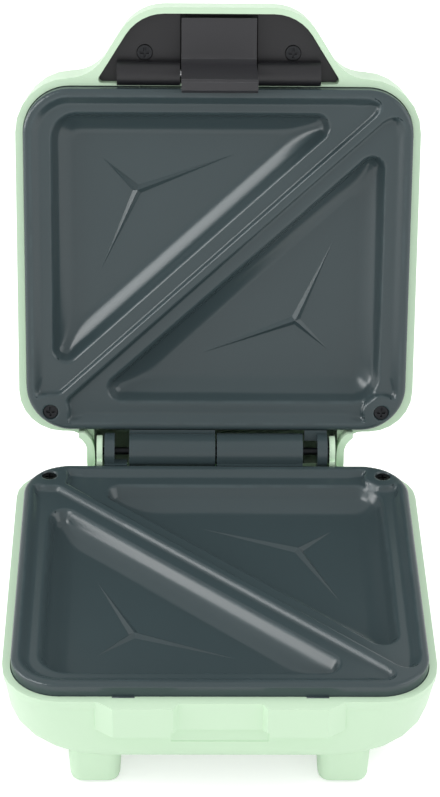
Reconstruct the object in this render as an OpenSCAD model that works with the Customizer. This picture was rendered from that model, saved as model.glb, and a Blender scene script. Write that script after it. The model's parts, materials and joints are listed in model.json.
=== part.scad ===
// Sandwich toaster with a hinged lid, two triangular pockets a side and a sprung front latch.
// Millimetres, Z up, origin on the table under the middle of the open toaster.
// Lid parts are drawn closed about the hinge axis and then swung open by open_angle.

/* [Stance] */
// Angle that the lid stands open, measured from closed
open_angle = 104.5; // [60:0.5:108]
// Height of the four feet
foot_h = 13.5; // [10:0.5:24]
// Depth of the base from the hinge axis to its underside
base_depth = 35; // [29:0.5:45]
// Height of the lid from the hinge axis to its top
lid_height = 36; // [34:0.5:50]

/* [Plates] */
// Width of a cooking plate
plate_w = 150; // [140:1:180]
// Depth of a cooking plate from hinge side to front
plate_d = 137.5; // [130:0.5:170]
// Corner radius of a cooking plate in plan
plate_r = 18; // [14:1:24]
// Gap between the two plates' rims when closed
plate_gap = 1.6; // [0.6:0.1:3]
// Wall of the die casting
plate_t = 2.6; // [2:0.1:3.5]
// Height of the plate's outer skirt
skirt_h = 11; // [8:0.5:11.5]
// Width of the raised rim round the plate
rim_w = 2.6; // [1.5:0.1:4]
// Depth of the crust sealing face below the rim
seal_depth = 2.2; // [1:0.1:3]
// Run of the slope from rim to sealing face
cove_run = 4; // [2:0.5:6]

/* [Pockets] */
// Plate edge to pocket at the sides
pocket_side = 10.2; // [9:0.2:16]
// Plate edge to pocket at the front
pocket_front = 9.7; // [9:0.1:16]
// Plate edge to pocket at the hinge side
pocket_rear = 11; // [9:0.2:16]
// Depth of a pocket below the rim
pocket_depth = 11.8; // [8:0.2:12]
// Horizontal run of a pocket's sloping wall
pocket_run = 9.5; // [6:0.5:11]
// Radius of a pocket's square corner
pocket_r = 11; // [10:0.5:14]
// Radius of a pocket's two sharp corners
tip_r = 5.5; // [3:0.5:7]
// Corner radius of a pocket's floor
floor_r = 3; // [1:0.5:4]
// Angle of the dividing ridge across the plate
divider_angle = 42.7; // [40:0.1:46]
// Width of the dividing ridge
divider_w = 2.8; // [2:0.2:4]
// Ridge centre line to the edge of each pocket
divider_gap = 8; // [6:0.5:10]
// Height of the three armed star on a pocket's floor
star_h = 1.7; // [0.8:0.1:2.5]
// Half width of a star's arm at its root
star_root = 2.4; // [1.5:0.1:4]

/* [Casings] */
// Casing edge beyond the plate at sides and front
lip_side = 3.2; // [2.6:0.1:5]
// Casing edge beyond the plate at the hinge side
lip_rear = 2; // [1.8:0.1:2.4]
// Wall of the two casings
wall = 2.4; // [1.8:0.1:3]
// Casing rim below the plate's rim
rim_drop = 5; // [3:0.5:7]
// Inward draft of the casing sides
draft = 2; // [0:0.2:3]
// Rounding along the lid's top edge
lid_round = 10; // [6:1:14]
// Rounding along the base's lower edge
base_round = 7; // [3:0.5:9]
// How much rounder the base's front corners are at its floor than at its rim
base_taper = 17; // [0:0.5:22]

/* [Catch] */
// Forward reach of the catch block from the casing
catch_out = 4.1; // [3:0.1:7]
// Half width of the catch block's front face
catch_half = 38.1; // [30:0.1:50]
// Width in plan of the block's end chamfers
catch_chamfer = 6.4; // [3:0.2:10]
// Height of the catch block
catch_h = 13; // [12.5:0.5:16]
// Half width of the hollow that the latch drops into
hollow_half = 15; // [14.8:0.1:18]
// Set back of the catch edge behind the block's face
catch_back = 1.8; // [1.2:0.1:2.4]

/* [Handle] */
// Fillet where the handle leaves the casing
handle_fillet = 16; // [8:0.5:16.5]
// Reach of the lid's front handle beyond the casing edge
handle_out = 27.4; // [22:0.2:40]
// Half width of the handle at its root
handle_root = 49; // [40:0.5:54]
// Slope of the handle's flanks in plan
flank_angle = 58; // [48:1:70]
// Radius of the handle's two front corners
handle_r = 20; // [10:1:24]
// Thickness of the handle's front edge
handle_t = 14; // [12.5:0.5:18]
// Depth of the black cover below the handle's rim
cover_sink = 3.3; // [2:0.1:5]
// Radius of the half round boss along the cover
boss_r = 4.7; // [4.4:0.1:5]

/* [Latch] */
// Width of the latch
latch_w = 28.7; // [20:0.1:29]
// Angle that the latch turns when it is squeezed
latch_travel = 9; // [6:0.5:10]
// Reach of the latch arm above the plate's rim
latch_arm = 21; // [20.5:0.1:23]

/* [Hinge] */
// Hinge axis behind the plates' rear edges
hinge_back = 8.4; // [8:0.1:11]
// Radius of the hinge barrels
barrel_r = 7.2; // [5:0.1:7.4]
// Radius of the hinge pin
pin_r = 1.5; // [1:0.1:2.5]
// Half width across the base's hinge ears
ear_half = 47.3; // [46:0.1:49]
// Radius of a hinge ear
ear_r = 6.2; // [4:0.1:6.5]
// Thickness of a hinge ear
ear_t = 2.3; // [1.5:0.1:3]
// Reach of the lid's tail behind the hinge axis
tail_out = 13; // [12.5:0.1:15]
// Half width of the lid's tail
tail_half = 51.5; // [51:0.1:54]
// Fillet where the tail leaves the casing
tail_fillet = 7; // [3:0.5:7.5]

/* [Feet] */
// Width of a foot at its top
foot_w = 20; // [16:1:26]
// Distance between the feet's centres across the base
foot_span = 89.8; // [70:0.2:110]
// Corner radius of a foot in plan
foot_r = 5.5; // [3:0.5:8]
// Radius of a rubber foot pad
pad_r = 5; // [3:0.5:6]

/* [Heating] */
// Radius of the sheathed heating element
element_r = 3.25; // [2.5:0.05:3.5]
// Distance between the element's two legs
element_span = 76; // [60:1:90]
// Length of an element's loop from front to back
element_run = 84; // [60:1:92]
// Bend radius of the element
element_bend = 16; // [12:1:24]
// Thickness of the reflector sheet
reflector_t = 0.6; // [0.4:0.1:1]
// Radius of a mains lead inside the casings
lead_r = 1.1; // [0.8:0.1:1.5]
// Radius of the bore in the cord inlet bush
cord_bore_r = 3.4; // [2.5:0.1:4]
// Radius of an indicator lens
lens_r = 4.2; // [3:0.1:6]

/* [Hidden] */
$fn = 48;

// Fits
slip = 0.05;
fit = 0.3;
snug = 0.1;
cut = 1;

play = 0.25;

// Screws: the head's radius and height, and the shank's radius
plate_screw = [2.8, 1.7, 1.5];
small_screw = [2.4, 1.6, 1.25];
handle_screw = [2.9, 1.5, 1.25];
plate_screw_l = 17;
handle_screw_l = 9;

// Levels above and below the hinge axis
face_z = plate_gap / 2;
rim_z = face_z + rim_drop;
hinge_z = foot_h + base_depth;
floor_z = -base_depth + wall;
seat_z = face_z + skirt_h + fit;
under_z = face_z + pocket_depth + plate_t;
element_z = under_z + element_r + 0.2;

// Distances in front of the hinge axis
plate_front = hinge_back + plate_d;
casing_front = plate_front + lip_side;
casing_rear = -hinge_back + lip_rear;
casing_w = plate_w + 2 * lip_side;
block_front = casing_front + catch_out;
handle_front = casing_front + handle_out;
casing_r = plate_r + lip_side;
casing_rear_r = plate_r - 1;

// How much of the handle's reach is left at a height above its front edge
lip_flat = rim_z + handle_t;
function lip_left(z) = z <= lip_flat ? 1
  : 0.3 + 0.7 * sqrt(max(0, 1 - pow((z - lip_flat) / (lid_height - lip_flat), 2)));
function lid_inset(z) =
  let (start = lid_height - lid_round, side = draft * 0.6 * (min(z, start) - rim_z) / (start - rim_z))
  z <= start ? side : side + lid_round * (1 - sqrt(max(0, 1 - pow((z - start) / lid_round, 2))));
lid_levels = [for (a = [15:15:75]) lid_height - lid_round * (1 - sin(a))];

// The open toaster's reach behind the hinge axis sets where the origin lies
function reach_back(y, z) = y * cos(open_angle) + z * sin(open_angle);
lid_back = max([
  for (z = lid_levels) reach_back(-casing_front + lid_inset(z) - handle_out * lip_left(z), z)
]);
hinge_y = (block_front - lid_back) / 2;

// Pocket layout in plan, x across and y towards the hinge
pocket_mid = -(hinge_back + (pocket_rear + plate_d - pocket_front) / 2);
screw_x = 65.6;
screw_y = -(hinge_back + 7.4);
boss_screw_r = 6.8;
screw_sink = 2.6;
screw_bite = 12;
post_r = 2.6;
star_at = [-31.2, -26.4, 0];
star_arms = [[-45, -39.2, 0], [7.6, -41, 0], [-46, 7, 0]];

// Latch, in distances in front of the hinge axis and above the plate's rim
pivot_y = -(plate_front + 5.1);
pivot_w = -6;
pivot_z = face_z - pivot_w;
cover_w = -(rim_drop + cover_sink);
cover_z = face_z - cover_w;
cover_t = 2;
cover_back = plate_front + 1.5;
tab_reach = 21.4;
channel_drop = tab_reach * sin(latch_travel);
hook_w = latch_arm - 3.2;
catch_z = -(hook_w - face_z) + 0.4;
cover_screw = [28.4, -(plate_front + 12.7)];

// Rounded outlines are lists of straight sides, each an inward normal angle and an offset,
// and a list of corner radii, negative where the corner is a hollow one
function meet(a, b) =
  let (det = cos(a[0]) * sin(b[0]) - sin(a[0]) * cos(b[0]))
  [(a[1] * sin(b[0]) - b[1] * sin(a[0])) / det, (cos(a[0]) * b[1] - cos(b[0]) * a[1]) / det];
function turn(a, b) = (b - a) - 360 * round((b - a) / 360);
function rounded(sides, radii, inset = 0, steps = 6) = [
  for (i = [0:len(sides) - 1])
    let (
      a = sides[i],
      b = sides[(i + 1) % len(sides)],
      r = radii[i] > 0 ? max(radii[i] - inset, 0.6) : radii[i] - min(inset, 5),
      c = meet([a[0], a[1] + inset + r], [b[0], b[1] + inset + r]),
      sweep = turn(a[0], b[0])
    )
    for (k = [0:steps])
      let (t = a[0] + sweep * k / steps)
      [c[0] - r * cos(t), c[1] - r * sin(t)]
];
function at_height(points, z) = [for (p = points) [p[0], p[1], z]];
function box_sides(w, front, rear) = [[180, -w / 2], [270, -rear], [0, -w / 2], [90, -front]];

// Skins a stack of rings with equal numbers of points into one solid
module loft(rings) {
  n = len(rings[0]);
  m = len(rings);
  polyhedron(
    points = [for (ring = rings) each ring],
    faces = concat(
      [[for (i = [0:n - 1]) i]],
      [for (j = [0:m - 2]) for (i = [0:n - 1]) [j * n + i, (j + 1) * n + i, (j + 1) * n + (i + 1) % n]],
      [for (j = [0:m - 2]) for (i = [0:n - 1]) [j * n + i, (j + 1) * n + (i + 1) % n, j * n + (i + 1) % n]],
      [[for (i = [n - 1:-1:0]) (m - 1) * n + i]]
    )
  );
}

// What lies between two heights
module between(low, high) {
  reach = 2 * (plate_w + plate_d);
  intersection() {
    children();
    translate([-reach / 2, -reach / 2, low]) cube([reach, reach, high - low]);
  }
}

module at_hinge() {
  translate([0, hinge_y, hinge_z]) children();
}

// Lid parts: mirrored from the base's way up, then swung open
module at_lid() {
  at_hinge() rotate([-open_angle, 0, 0]) children();
}

module flipped() {
  mirror([0, 0, 1]) children();
}

module slab(w, front, rear, r, low, high) {
  translate([0, 0, low])
    linear_extrude(high - low)
      union() {
        translate([-w / 2, -front + r]) square([w, front + rear - 2 * r]);
        translate([-w / 2 + r, -front]) square([w - 2 * r, front + rear]);
        for (x = [-1, 1], y = [-front + r, rear - r])
          translate([x * (w / 2 - r), y]) circle(r);
      }
}

// A bar along X
module axle(r, from, to) {
  translate([from, 0, 0]) rotate([0, 90, 0]) cylinder(r = r, h = to - from);
}

module tube_to(p, q, r) {
  d = q - p;
  translate(p)
    rotate([0, acos(d[2] / norm(d)), atan2(d[1], d[0])])
      cylinder(r = r, h = norm(d));
}

// A lead that leaves a towards b and comes to d from c, with its two ends cut square
// Leads: how far behind the element they turn, how far they run straight, and their level
lead_turn = 22;
lead_out = 9;
lead_z = element_z + 1.35;

module lead(a, b, c, d) {
  p = a + (b - a) / norm(b - a) * 0.4;
  q = d + (c - d) / norm(c - d) * 0.4;
  swept(
    concat(
      [a, p],
      [
        for (i = [1:15])
          let (t = i / 16, u = 1 - t)
          u * u * u * p + 3 * u * u * t * b + 3 * u * t * t * c + t * t * t * q
      ],
      [q, d]
    ),
    lead_r, 8
  );
}

// A pan head screw pointing down, with a cross recess
module screw(size, length) {
  head_r = size[0];
  head_h = size[1];
  difference() {
    union() {
      cylinder(r = head_r, h = head_h);
      translate([0, 0, -length]) cylinder(r = size[2], h = length + head_h / 2);
    }
    for (a = [0, 90])
      rotate([0, 0, a])
        translate([-head_r * 0.62, -head_r * 0.14, head_h * 0.45])
          cube([head_r * 1.24, head_r * 0.28, head_h]);
  }
}

// Cooking plate, face up, in the hinge frame

// The front left pocket's three sides: left, front and along the ridge
function pocket_sides(grow) = [
  [0, -plate_w / 2 + pocket_side - grow],
  [90, -plate_front + pocket_front - grow],
  [270 - divider_angle,
   -pocket_mid * cos(divider_angle) + divider_gap - grow]
];
function pocket_ring(grow, sharp_r, square_r, z) =
  at_height(rounded(pocket_sides(grow), [square_r, sharp_r, sharp_r], 0, 8), z);

module half_turn() {
  translate([0, pocket_mid, 0]) rotate([0, 0, 180]) translate([0, -pocket_mid, 0]) children();
}

module both_pockets() {
  children();
  half_turn() children();
}

module pocket(grow, top, bottom) {
  loft([
    pocket_ring(grow - pocket_run, floor_r + grow, floor_r + grow, bottom),
    pocket_ring(grow - pocket_run + 2, floor_r + grow + 0.8, floor_r + grow + 2, bottom + 0.9),
    pocket_ring(grow - 2, tip_r + grow - 1, pocket_r + grow - 1.5, top - 2),
    pocket_ring(grow, tip_r + grow, pocket_r + grow, top)
  ]);
}

// A three armed ridge whose crest falls from the middle to each arm's end
module star() {
  ways = [for (p = star_arms) (p - star_at) / norm(p - star_at)];
  roots = [for (i = [0:2]) let (w = ways[i] + ways[(i + 1) % 3]) star_at + w / norm(w) * star_root];
  rim = [for (i = [0:2]) each [star_arms[i], roots[i]]];
  sunk = [for (p = rim) p - [0, 0, 0.5]];
  polyhedron(
    points = concat([star_at + [0, 0, star_h]], rim, sunk),
    faces = concat(
      [for (i = [0:5]) [0, 1 + (i + 1) % 6, 1 + i]],
      [for (i = [0:5]) [1 + i, 1 + (i + 1) % 6, 7 + (i + 1) % 6]],
      [for (i = [0:5]) [1 + i, 7 + (i + 1) % 6, 7 + i]],
      [[for (i = [7:12]) i]]
    )
  );
}

module hinge_leaf(from, to, web_from, web_to) {
  axle(barrel_r, from, to);
  translate([web_from, -hinge_back - 1.5, -face_z - 4])
    cube([web_to - web_from, hinge_back - 2.5, 3.5]);
}

module front_tabs(grow) {
  for (x = [-1, 1])
    translate([x * 34.4 - 4 - grow, -plate_front - 1.1 - grow, -rim_z - 2.6 - grow])
      cube([8 + 2 * grow, 3.5, 2.2 + 2 * grow]);
}

module divider() {
  reach = (screw_x - 4) / cos(divider_angle);
  translate([0, pocket_mid, -face_z - seal_depth - 1])
    rotate([0, 0, -divider_angle])
      translate([-reach, -divider_w / 2, 0]) cube([2 * reach, divider_w, seal_depth + 1]);
}

// Posts under the plate, each a place in plan and the depth of its lower end, take small screws
module plate_body(posts) {
  inner = plate_w - 2 * plate_t;
  difference() {
    union() {
      difference() {
        slab(plate_w, plate_front, -hinge_back, plate_r, -face_z - skirt_h, -face_z);
        slab(
          inner, plate_front - plate_t, -hinge_back - plate_t, plate_r - plate_t,
          -face_z - skirt_h - cut, -face_z - seal_depth - plate_t
        );
        loft([
          for (step = [[rim_w + cove_run, seal_depth], [rim_w + 1.6, 1.5], [rim_w, 0], [rim_w, -cut]])
            at_height(
              rounded(box_sides(plate_w, plate_front, -hinge_back), [for (i = [0:3]) plate_r], step[0]),
              -face_z - step[1]
            )
        ]);
      }
      both_pockets() pocket(plate_t, -face_z - seal_depth - 0.4, -under_z);
      divider();
      intersection() {
        slab(
          plate_w - 2, plate_front - 1, -hinge_back - 1, plate_r - 1, -face_z - skirt_h, -face_z
        );
        for (x = [-1, 1])
          translate([x * screw_x, screw_y, -face_z - skirt_h]) {
            cylinder(r = 5, h = skirt_h - 1);
            translate([0, 0, skirt_h - seal_depth - 1]) cylinder(r = boss_screw_r, h = seal_depth + 1);
          }
      }
      translate([screw_x - 3.4, -plate_front + 10.6, -face_z - seal_depth - 1])
        cylinder(r = 5.6, h = seal_depth + 1);
      front_tabs(0);
      for (p = posts)
        translate([p[0], p[1], -p[2]]) cylinder(r = post_r, h = p[2] - face_z - seal_depth - 1);
    }
    both_pockets() pocket(0, -face_z - seal_depth + 0.1, -face_z - pocket_depth);
    for (x = [-1, 1])
      translate([x * screw_x, screw_y, 0]) {
        translate([0, 0, -face_z - screw_sink]) cylinder(r = plate_screw[0] + play, h = 5);
        translate([0, 0, -face_z - skirt_h - cut]) cylinder(r = plate_screw[2] + play, h = skirt_h + cut);
      }
    for (p = posts)
      translate([p[0], p[1], -p[2] - cut])
        cylinder(r = small_screw[2] + slip, h = p[2] - under_z + 1 + cut);
  }
  both_pockets() translate([0, pocket_mid, -face_z - pocket_depth]) star();
}

// Heating parts, in the base's way up

pin_out = 9;
element_rear = pocket_mid + element_run / 2;
element_front = pocket_mid - element_run / 2;
clip_y = [pocket_mid + 14];
clip_reach = element_r + 5.6;

function clip_points() = [
  for (x = [-1, 1], d = [-1, 1], y = clip_y) [x * element_span / 2 + d * clip_reach, y]
];

clip_posts = [for (p = clip_points()) [p[0], p[1], element_z - 0.6]];

module element() {
  half = element_span / 2;
  translate([0, 0, -element_z]) {
    for (x = [-1, 1]) {
      tube_to(
        [x * half, element_rear, 0], [x * half, element_front + element_bend, 0], element_r
      );
      tube_to([x * half, element_rear - 0.5, 0], [x * half, element_rear + 4, 0], element_r * 0.8);
      tube_to([x * half, element_rear + 3, 0], [x * half, element_rear + pin_out, 0], 1.2);
      translate([x * (half - element_bend), element_front + element_bend, 0])
        rotate([0, 0, x > 0 ? 270 : 180])
          rotate_extrude(angle = 90) translate([element_bend, 0]) circle(element_r);
    }
    tube_to(
      [-half + element_bend, element_front, 0], [half - element_bend, element_front, 0], element_r
    );
  }
}

module element_clips() {
  for (x = [-1, 1], y = clip_y)
    translate([x * element_span / 2, y, -element_z])
      difference() {
        union() {
          rotate([90, 0, 0]) cylinder(r = element_r + 1, h = 9, center = true);
          translate([-clip_reach - 3, -4.5, -0.6]) cube([2 * clip_reach + 6, 9, 1.2]);
        }
        rotate([90, 0, 0]) cylinder(r = element_r + snug, h = 9 + 2 * cut, center = true);
        translate([-clip_reach, -4.5 - cut, 0.6]) cube([2 * clip_reach, 9 + 2 * cut, element_r + 2]);
        for (d = [-1, 1])
          translate([d * clip_reach, 0, -2]) cylinder(r = small_screw[2] + play, h = 4);
      }
}

module clip_screws() {
  for (p = clip_points())
    translate([p[0], p[1], -element_z - 0.6])
      flipped() screw(small_screw, 3);
}

reflector_z = element_z + element_r + 1.2;
reflector_inset = 14;

module reflector() {
  w = plate_w - 2 * reflector_inset;
  front = plate_front - reflector_inset;
  rear = -hinge_back - reflector_inset - 4;
  difference() {
    slab(w, front, rear, 8, -reflector_z - reflector_t, -reflector_z + 2);
    slab(
      w - 2 * reflector_t, front - reflector_t, rear - reflector_t, 8 - reflector_t,
      -reflector_z, -reflector_z + 2 + cut
    );
    for (x = [-1, 1], y = peg_y)
      translate([x * peg_x, y, -reflector_z - 2]) cylinder(r = 1.6, h = 4);
  }
}

peg_x = 52;
peg_y = [pocket_mid - 42, pocket_mid + 40];

// Pegs that stand on a casing's inner face, far_z from the hinge axis, and carry the reflector
module reflector_pegs(far_z) {
  for (x = [-1, 1], y = peg_y)
    translate([x * peg_x, y, -far_z]) {
      cylinder(r = 3, h = far_z - reflector_z - reflector_t - snug);
      cylinder(r = 1.5, h = far_z - reflector_z + 1.5);
    }
}

// Base casing

function base_part(z) = min(1, max(0, (-z - rim_z - 4) / (base_depth - rim_z - 4)));
function base_ring(inset, z) = at_height(
  rounded(
    box_sides(casing_w, casing_front, casing_rear),
    [for (i = [0:3]) i < 2 ? casing_rear_r : casing_r + base_taper * base_part(z)],
    inset
  ),
  z
);
function base_side(z) = 0.7 + draft * 0.4 * base_part(z);

module base_outer() {
  loft(concat(
    [
      for (a = [75:-15:0])
        base_ring(
          base_side(-base_depth + base_round) + base_round * (1 - cos(a)),
          -base_depth + base_round * (1 - sin(a))
        )
    ],
    [base_ring(base_side(-rim_z - 4), -rim_z - 4), base_ring(0.3, -rim_z - 3), base_ring(0, -rim_z)]
  ));
}

// The space in a casing's rim that a plate's skirt drops into
module plate_seat(low, high) {
  sides = box_sides(plate_w, plate_front, -hinge_back);
  translate([0, 0, low])
    linear_extrude(high - low) polygon(rounded(sides, [for (i = [0:3]) plate_r], -fit, 12));
}

module base_inner() {
  loft([
    base_ring(base_side(-base_depth) + wall + base_round * 0.4, floor_z),
    base_ring(base_side(-base_depth) + wall, floor_z + base_round * 0.6),
    base_ring(base_side(-rim_z - 4) + wall, -seat_z + 0.1)
  ]);
  plate_seat(-seat_z, -rim_z + cut);
}

// Underside of the feet, the plastic left over it, and the rubber pads let into it
foot_low = -hinge_z + 0.6;
sole = 2.6;
pad_t = 1.6;

foot_y = [
  -casing_front + base_side(-base_depth) + base_round * 0.4 + foot_w / 2,
  casing_rear - base_side(-base_depth) - 1 - foot_w / 2
];

// The rear feet run back as far as the closed lid's tail, so that the open toaster can't tip back
heel = tail_out - foot_y[1] - foot_w / 2;

module foot(shrink, low, high, back = 0) {
  sides = box_sides(foot_w, foot_w / 2, foot_w / 2 + back);
  radii = [for (i = [0:3]) foot_r];
  loft([
    at_height(rounded(sides, radii, shrink + 2.6, 5), low),
    at_height(rounded(sides, radii, shrink + 1.3, 5), low + 0.9),
    at_height(rounded(sides, radii, shrink + 0.9, 5), low + 2.4),
    at_height(rounded(sides, radii, shrink, 5), high)
  ]);
}

module at_feet(places = foot_y) {
  for (x = [-1, 1], y = places)
    translate([x * foot_span / 2, y, 0]) children();
}

module at_pads() {
  at_feet([foot_y[0], foot_y[1] + heel]) translate([0, 0, -hinge_z]) children();
}

module catch_block() {
  top = -rim_z;
  base_line = -casing_front + 3;
  translate([0, 0, top - catch_h])
    linear_extrude(catch_h)
      polygon([
        [-catch_half - catch_chamfer, -casing_front + 0.4], [-catch_half, -block_front],
        [catch_half, -block_front], [catch_half + catch_chamfer, -casing_front + 0.4],
        [catch_half + catch_chamfer, base_line], [-catch_half - catch_chamfer, base_line]
      ]);
}

// The hollow slopes out to the catch edge, and is open below it for the hook
module catch_hollow() {
  deep = 3.2;
  flare = 2.4;
  polyhedron(
    points = [
      [-hollow_half - flare, -block_front - cut, -rim_z + cut],
      [hollow_half + flare, -block_front - cut, -rim_z + cut],
      [hollow_half, -block_front + deep, -rim_z + cut],
      [-hollow_half, -block_front + deep, -rim_z + cut],
      [-hollow_half - flare, -block_front - cut, catch_z - cut],
      [hollow_half + flare, -block_front - cut, catch_z - cut],
      [hollow_half, -block_front + catch_back, catch_z - cut],
      [-hollow_half, -block_front + catch_back, catch_z - cut]
    ],
    faces = [
      [0, 3, 2], [0, 2, 1], [4, 5, 6], [4, 6, 7], [0, 1, 5], [0, 5, 4],
      [2, 3, 7], [2, 7, 6], [1, 2, 6], [1, 6, 5], [3, 0, 4], [3, 4, 7]
    ]
  );
  translate([-hollow_half - flare, -block_front - cut, -rim_z - catch_h - 6])
    cube([2 * (hollow_half + flare), catch_out + cut + 1.4, catch_z + rim_z + catch_h + 6]);
}

module hinge_ears() {
  for (x = [-1, 1])
    translate([x * (ear_half - ear_t / 2), 0, 0])
      rotate([90, 0, 90])
        linear_extrude(ear_t, center = true)
          difference() {
            union() {
              circle(ear_r);
              polygon([
                [casing_rear - 1.2, 0], [casing_rear - 1.2, -13.5], [casing_rear + 0.2, -13.5],
                [-ear_r * 0.5, -ear_r * 0.8], [0, 0]
              ]);
            }
            circle(pin_r + slip);
          }
}

inlet_z = -23;
inlet_y = casing_rear - 0.6;
inlet_wall = wall + 1;
bush_flange = 2;
bush_lip_r = cord_bore_r + 1.8;
vent_pitch = 8;
vent_w = 2;
vent_l = 28;

// Ribs that the lid's tail comes to rest on when it is fully open
stop_x = 34;
stop_z = -15;

module base_shell() {
  difference() {
    union() {
      difference() {
        union() {
          base_outer();
          catch_block();
          at_feet([foot_y[0]]) foot(0, foot_low, floor_z + base_round * 0.6);
        }
        base_inner();
      }
      at_feet([foot_y[1]]) foot(0, foot_low, floor_z, heel);
      for (x = [-1, 1])
        translate([x * screw_x, screw_y, floor_z - 0.5])
          cylinder(r = 4, h = -seat_z - floor_z + 0.5 - snug);
      hinge_ears();
      translate([0, inlet_y, inlet_z]) rotate([90, 0, 0]) cylinder(r = cord_bore_r + 3.4, h = inlet_wall);
      for (x = [-1, 1])
        translate([x * stop_x - 3, casing_rear - 1.2, stop_z]) cube([6, 3.5, 4]);
      reflector_pegs(base_depth - wall + 0.5);
      translate([-block_size[0] / 2, block_at[1] - block_size[1] / 2, floor_z - 0.5])
        cube([block_size[0], block_size[1], block_rise + 0.5 - snug]);
    }
    at_feet() foot(wall, foot_low + sole, floor_z + cut);
    at_feet([foot_y[1]]) foot(wall + 0.3, foot_low + sole, floor_z - wall - 0.2, heel);
    at_pads() translate([0, 0, -cut]) cylinder(r = pad_r + snug, h = pad_t + cut);
    catch_hollow();
    front_tabs(fit);
    for (x = [-1, 1])
      translate([x * screw_x, screw_y, -seat_z - screw_bite])
        cylinder(r = plate_screw[2] + slip, h = screw_bite + cut);
    translate([0, inlet_y, inlet_z])
      rotate([90, 0, 0]) {
        translate([0, 0, -cut]) cylinder(r = cord_bore_r + 1.3, h = inlet_wall + 2 * cut);
        translate([0, 0, inlet_wall]) cylinder(r = bush_lip_r + snug, h = bush_flange + 2);
      }
    for (x = block_fixings)
      translate([x, block_at[1], floor_z - 1.4])
        cylinder(r = small_screw[2] + slip, h = block_rise + 4);
    for (i = [-3:3])
      translate([i * vent_pitch - vent_w / 2, pocket_mid - vent_l / 2, -base_depth - cut])
        cube([vent_w, vent_l, wall + 2 * cut]);
  }
}

module base_casing() {
  color([0.75, 0.88, 0.74]) at_hinge() base_shell();
}

module foot_pads() {
  color([0.55, 0.57, 0.55])
    at_hinge()
      at_pads() {
        cylinder(r = pad_r - 0.5, h = 0.5);
        translate([0, 0, 0.4]) cylinder(r = pad_r, h = pad_t - 0.4);
      }
}

// Plates and their screws

leaf_gap = 0.35;
big_leaf = 34.4;
lug_from = 40.2;
lug_to = 44.2;
web_from = 35.2;

module plate_bores(radius) {
  axle(radius, -ear_half, ear_half);
}

module base_plate() {
  color([0.26, 0.3, 0.31])
    at_hinge()
      difference() {
        union() {
          plate_body(concat(clip_posts, [fuse_post]));
          hinge_leaf(leaf_gap, big_leaf, leaf_gap, big_leaf);
          hinge_leaf(-lug_to, -lug_from, -lug_to, -web_from);
        }
        plate_bores(pin_r + slip);
      }
}

module lid_plate() {
  color([0.28, 0.32, 0.33])
    at_lid()
      difference() {
        union() {
          flipped() plate_body(concat(clip_posts, thermostat_posts));
          flipped() hinge_leaf(-big_leaf, -leaf_gap, -big_leaf, -leaf_gap);
          flipped() hinge_leaf(lug_from, lug_to, web_from, lug_to);
        }
        plate_bores(pin_r + slip);
      }
}

module plate_screws() {
  for (x = [-1, 1])
    translate([x * screw_x, screw_y, -face_z - screw_sink + snug]) screw(plate_screw, plate_screw_l);
}

module base_plate_screws() {
  color([0.1, 0.1, 0.11]) at_hinge() plate_screws();
}

module lid_plate_screws() {
  color([0.1, 0.1, 0.11]) at_lid() flipped() plate_screws();
}

module hinge_pin() {
  color([0.7, 0.7, 0.72]) at_hinge() axle(pin_r, -ear_half + 0.1, ear_half - 0.1);
}

// Base internals

module base_element() {
  color([0.45, 0.43, 0.4]) at_hinge() element();
}

module base_element_clips() {
  color([0.7, 0.71, 0.72]) at_hinge() element_clips();
}

module base_clip_screws() {
  color([0.62, 0.63, 0.65]) at_hinge() clip_screws();
}

module base_reflector() {
  color([0.78, 0.79, 0.8]) at_hinge() reflector();
}

fuse_r = 2;
fuse_pin = 8;
fuse_in = 24;
fuse_at = [element_span / 2 - fuse_in, pocket_mid + 36, -under_z - fuse_r - 0.9];
fuse_arm = 6.2;
fuse_post = [fuse_at[0], fuse_at[1] - fuse_arm, under_z + 1.6];

module thermal_fuse() {
  color([0.8, 0.8, 0.76])
    at_hinge()
      translate(fuse_at) {
        axle(fuse_r, -5, 5);
        axle(0.5, -fuse_pin, fuse_pin);
      }
}

module fuse_clip() {
  strip = fuse_post[2] + fuse_at[2];
  color([0.7, 0.71, 0.72])
    at_hinge()
      translate(fuse_at)
        difference() {
          union() {
            axle(fuse_r + 0.7, -2.5, 2.5);
            translate([-2.5, -9, -strip - 0.7]) cube([5, 9, 0.7]);
          }
          axle(fuse_r + snug, -2.5 - cut, 2.5 + cut);
          translate([-2.5 - cut, -6, -strip - 4.7]) cube([5 + 2 * cut, 4.6, 4]);
          translate([0, -fuse_arm, -2]) cylinder(r = small_screw[2] + play, h = 6);
        }
}

module fuse_clip_screw() {
  color([0.62, 0.63, 0.65])
    at_hinge() translate([fuse_post[0], fuse_post[1], -fuse_post[2] - 0.7])
      flipped() screw(small_screw, 3);
}

block_size = [28, 7.6, 9];
block_rise = 6;
block_at = [0, casing_rear - wall - 9.6, floor_z + block_rise + block_size[2] / 2];
poles = [-9, 0, 9];
block_fixings = [-4.5, 4.5];

module terminal_block() {
  color([0.9, 0.88, 0.8])
    at_hinge()
      translate(block_at)
        difference() {
          translate(-block_size / 2) cube(block_size);
          for (x = poles)
            translate([x, 0, 0]) {
              rotate([90, 0, 0]) cylinder(r = 1.5, h = block_size[1] + 2 * cut, center = true);
              cylinder(r = 1.6, h = block_size[2]);
            }
          for (x = block_fixings)
            translate([x, 0, -block_size[2]]) {
              cylinder(r = small_screw[2] + play, h = 2 * block_size[2]);
              translate([0, 0, block_size[2] + 1]) cylinder(r = small_screw[0] + snug, h = block_size[2]);
            }
        }
}

module terminal_screws() {
  color([0.8, 0.68, 0.35])
    at_hinge()
      for (x = poles)
        translate(block_at + [x, 0, 1.5])
          difference() {
            cylinder(r = 1.5, h = 2.6);
            translate([-1.1, -0.25, 1.6]) cube([2.2, 0.5, 2]);
          }
}

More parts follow.
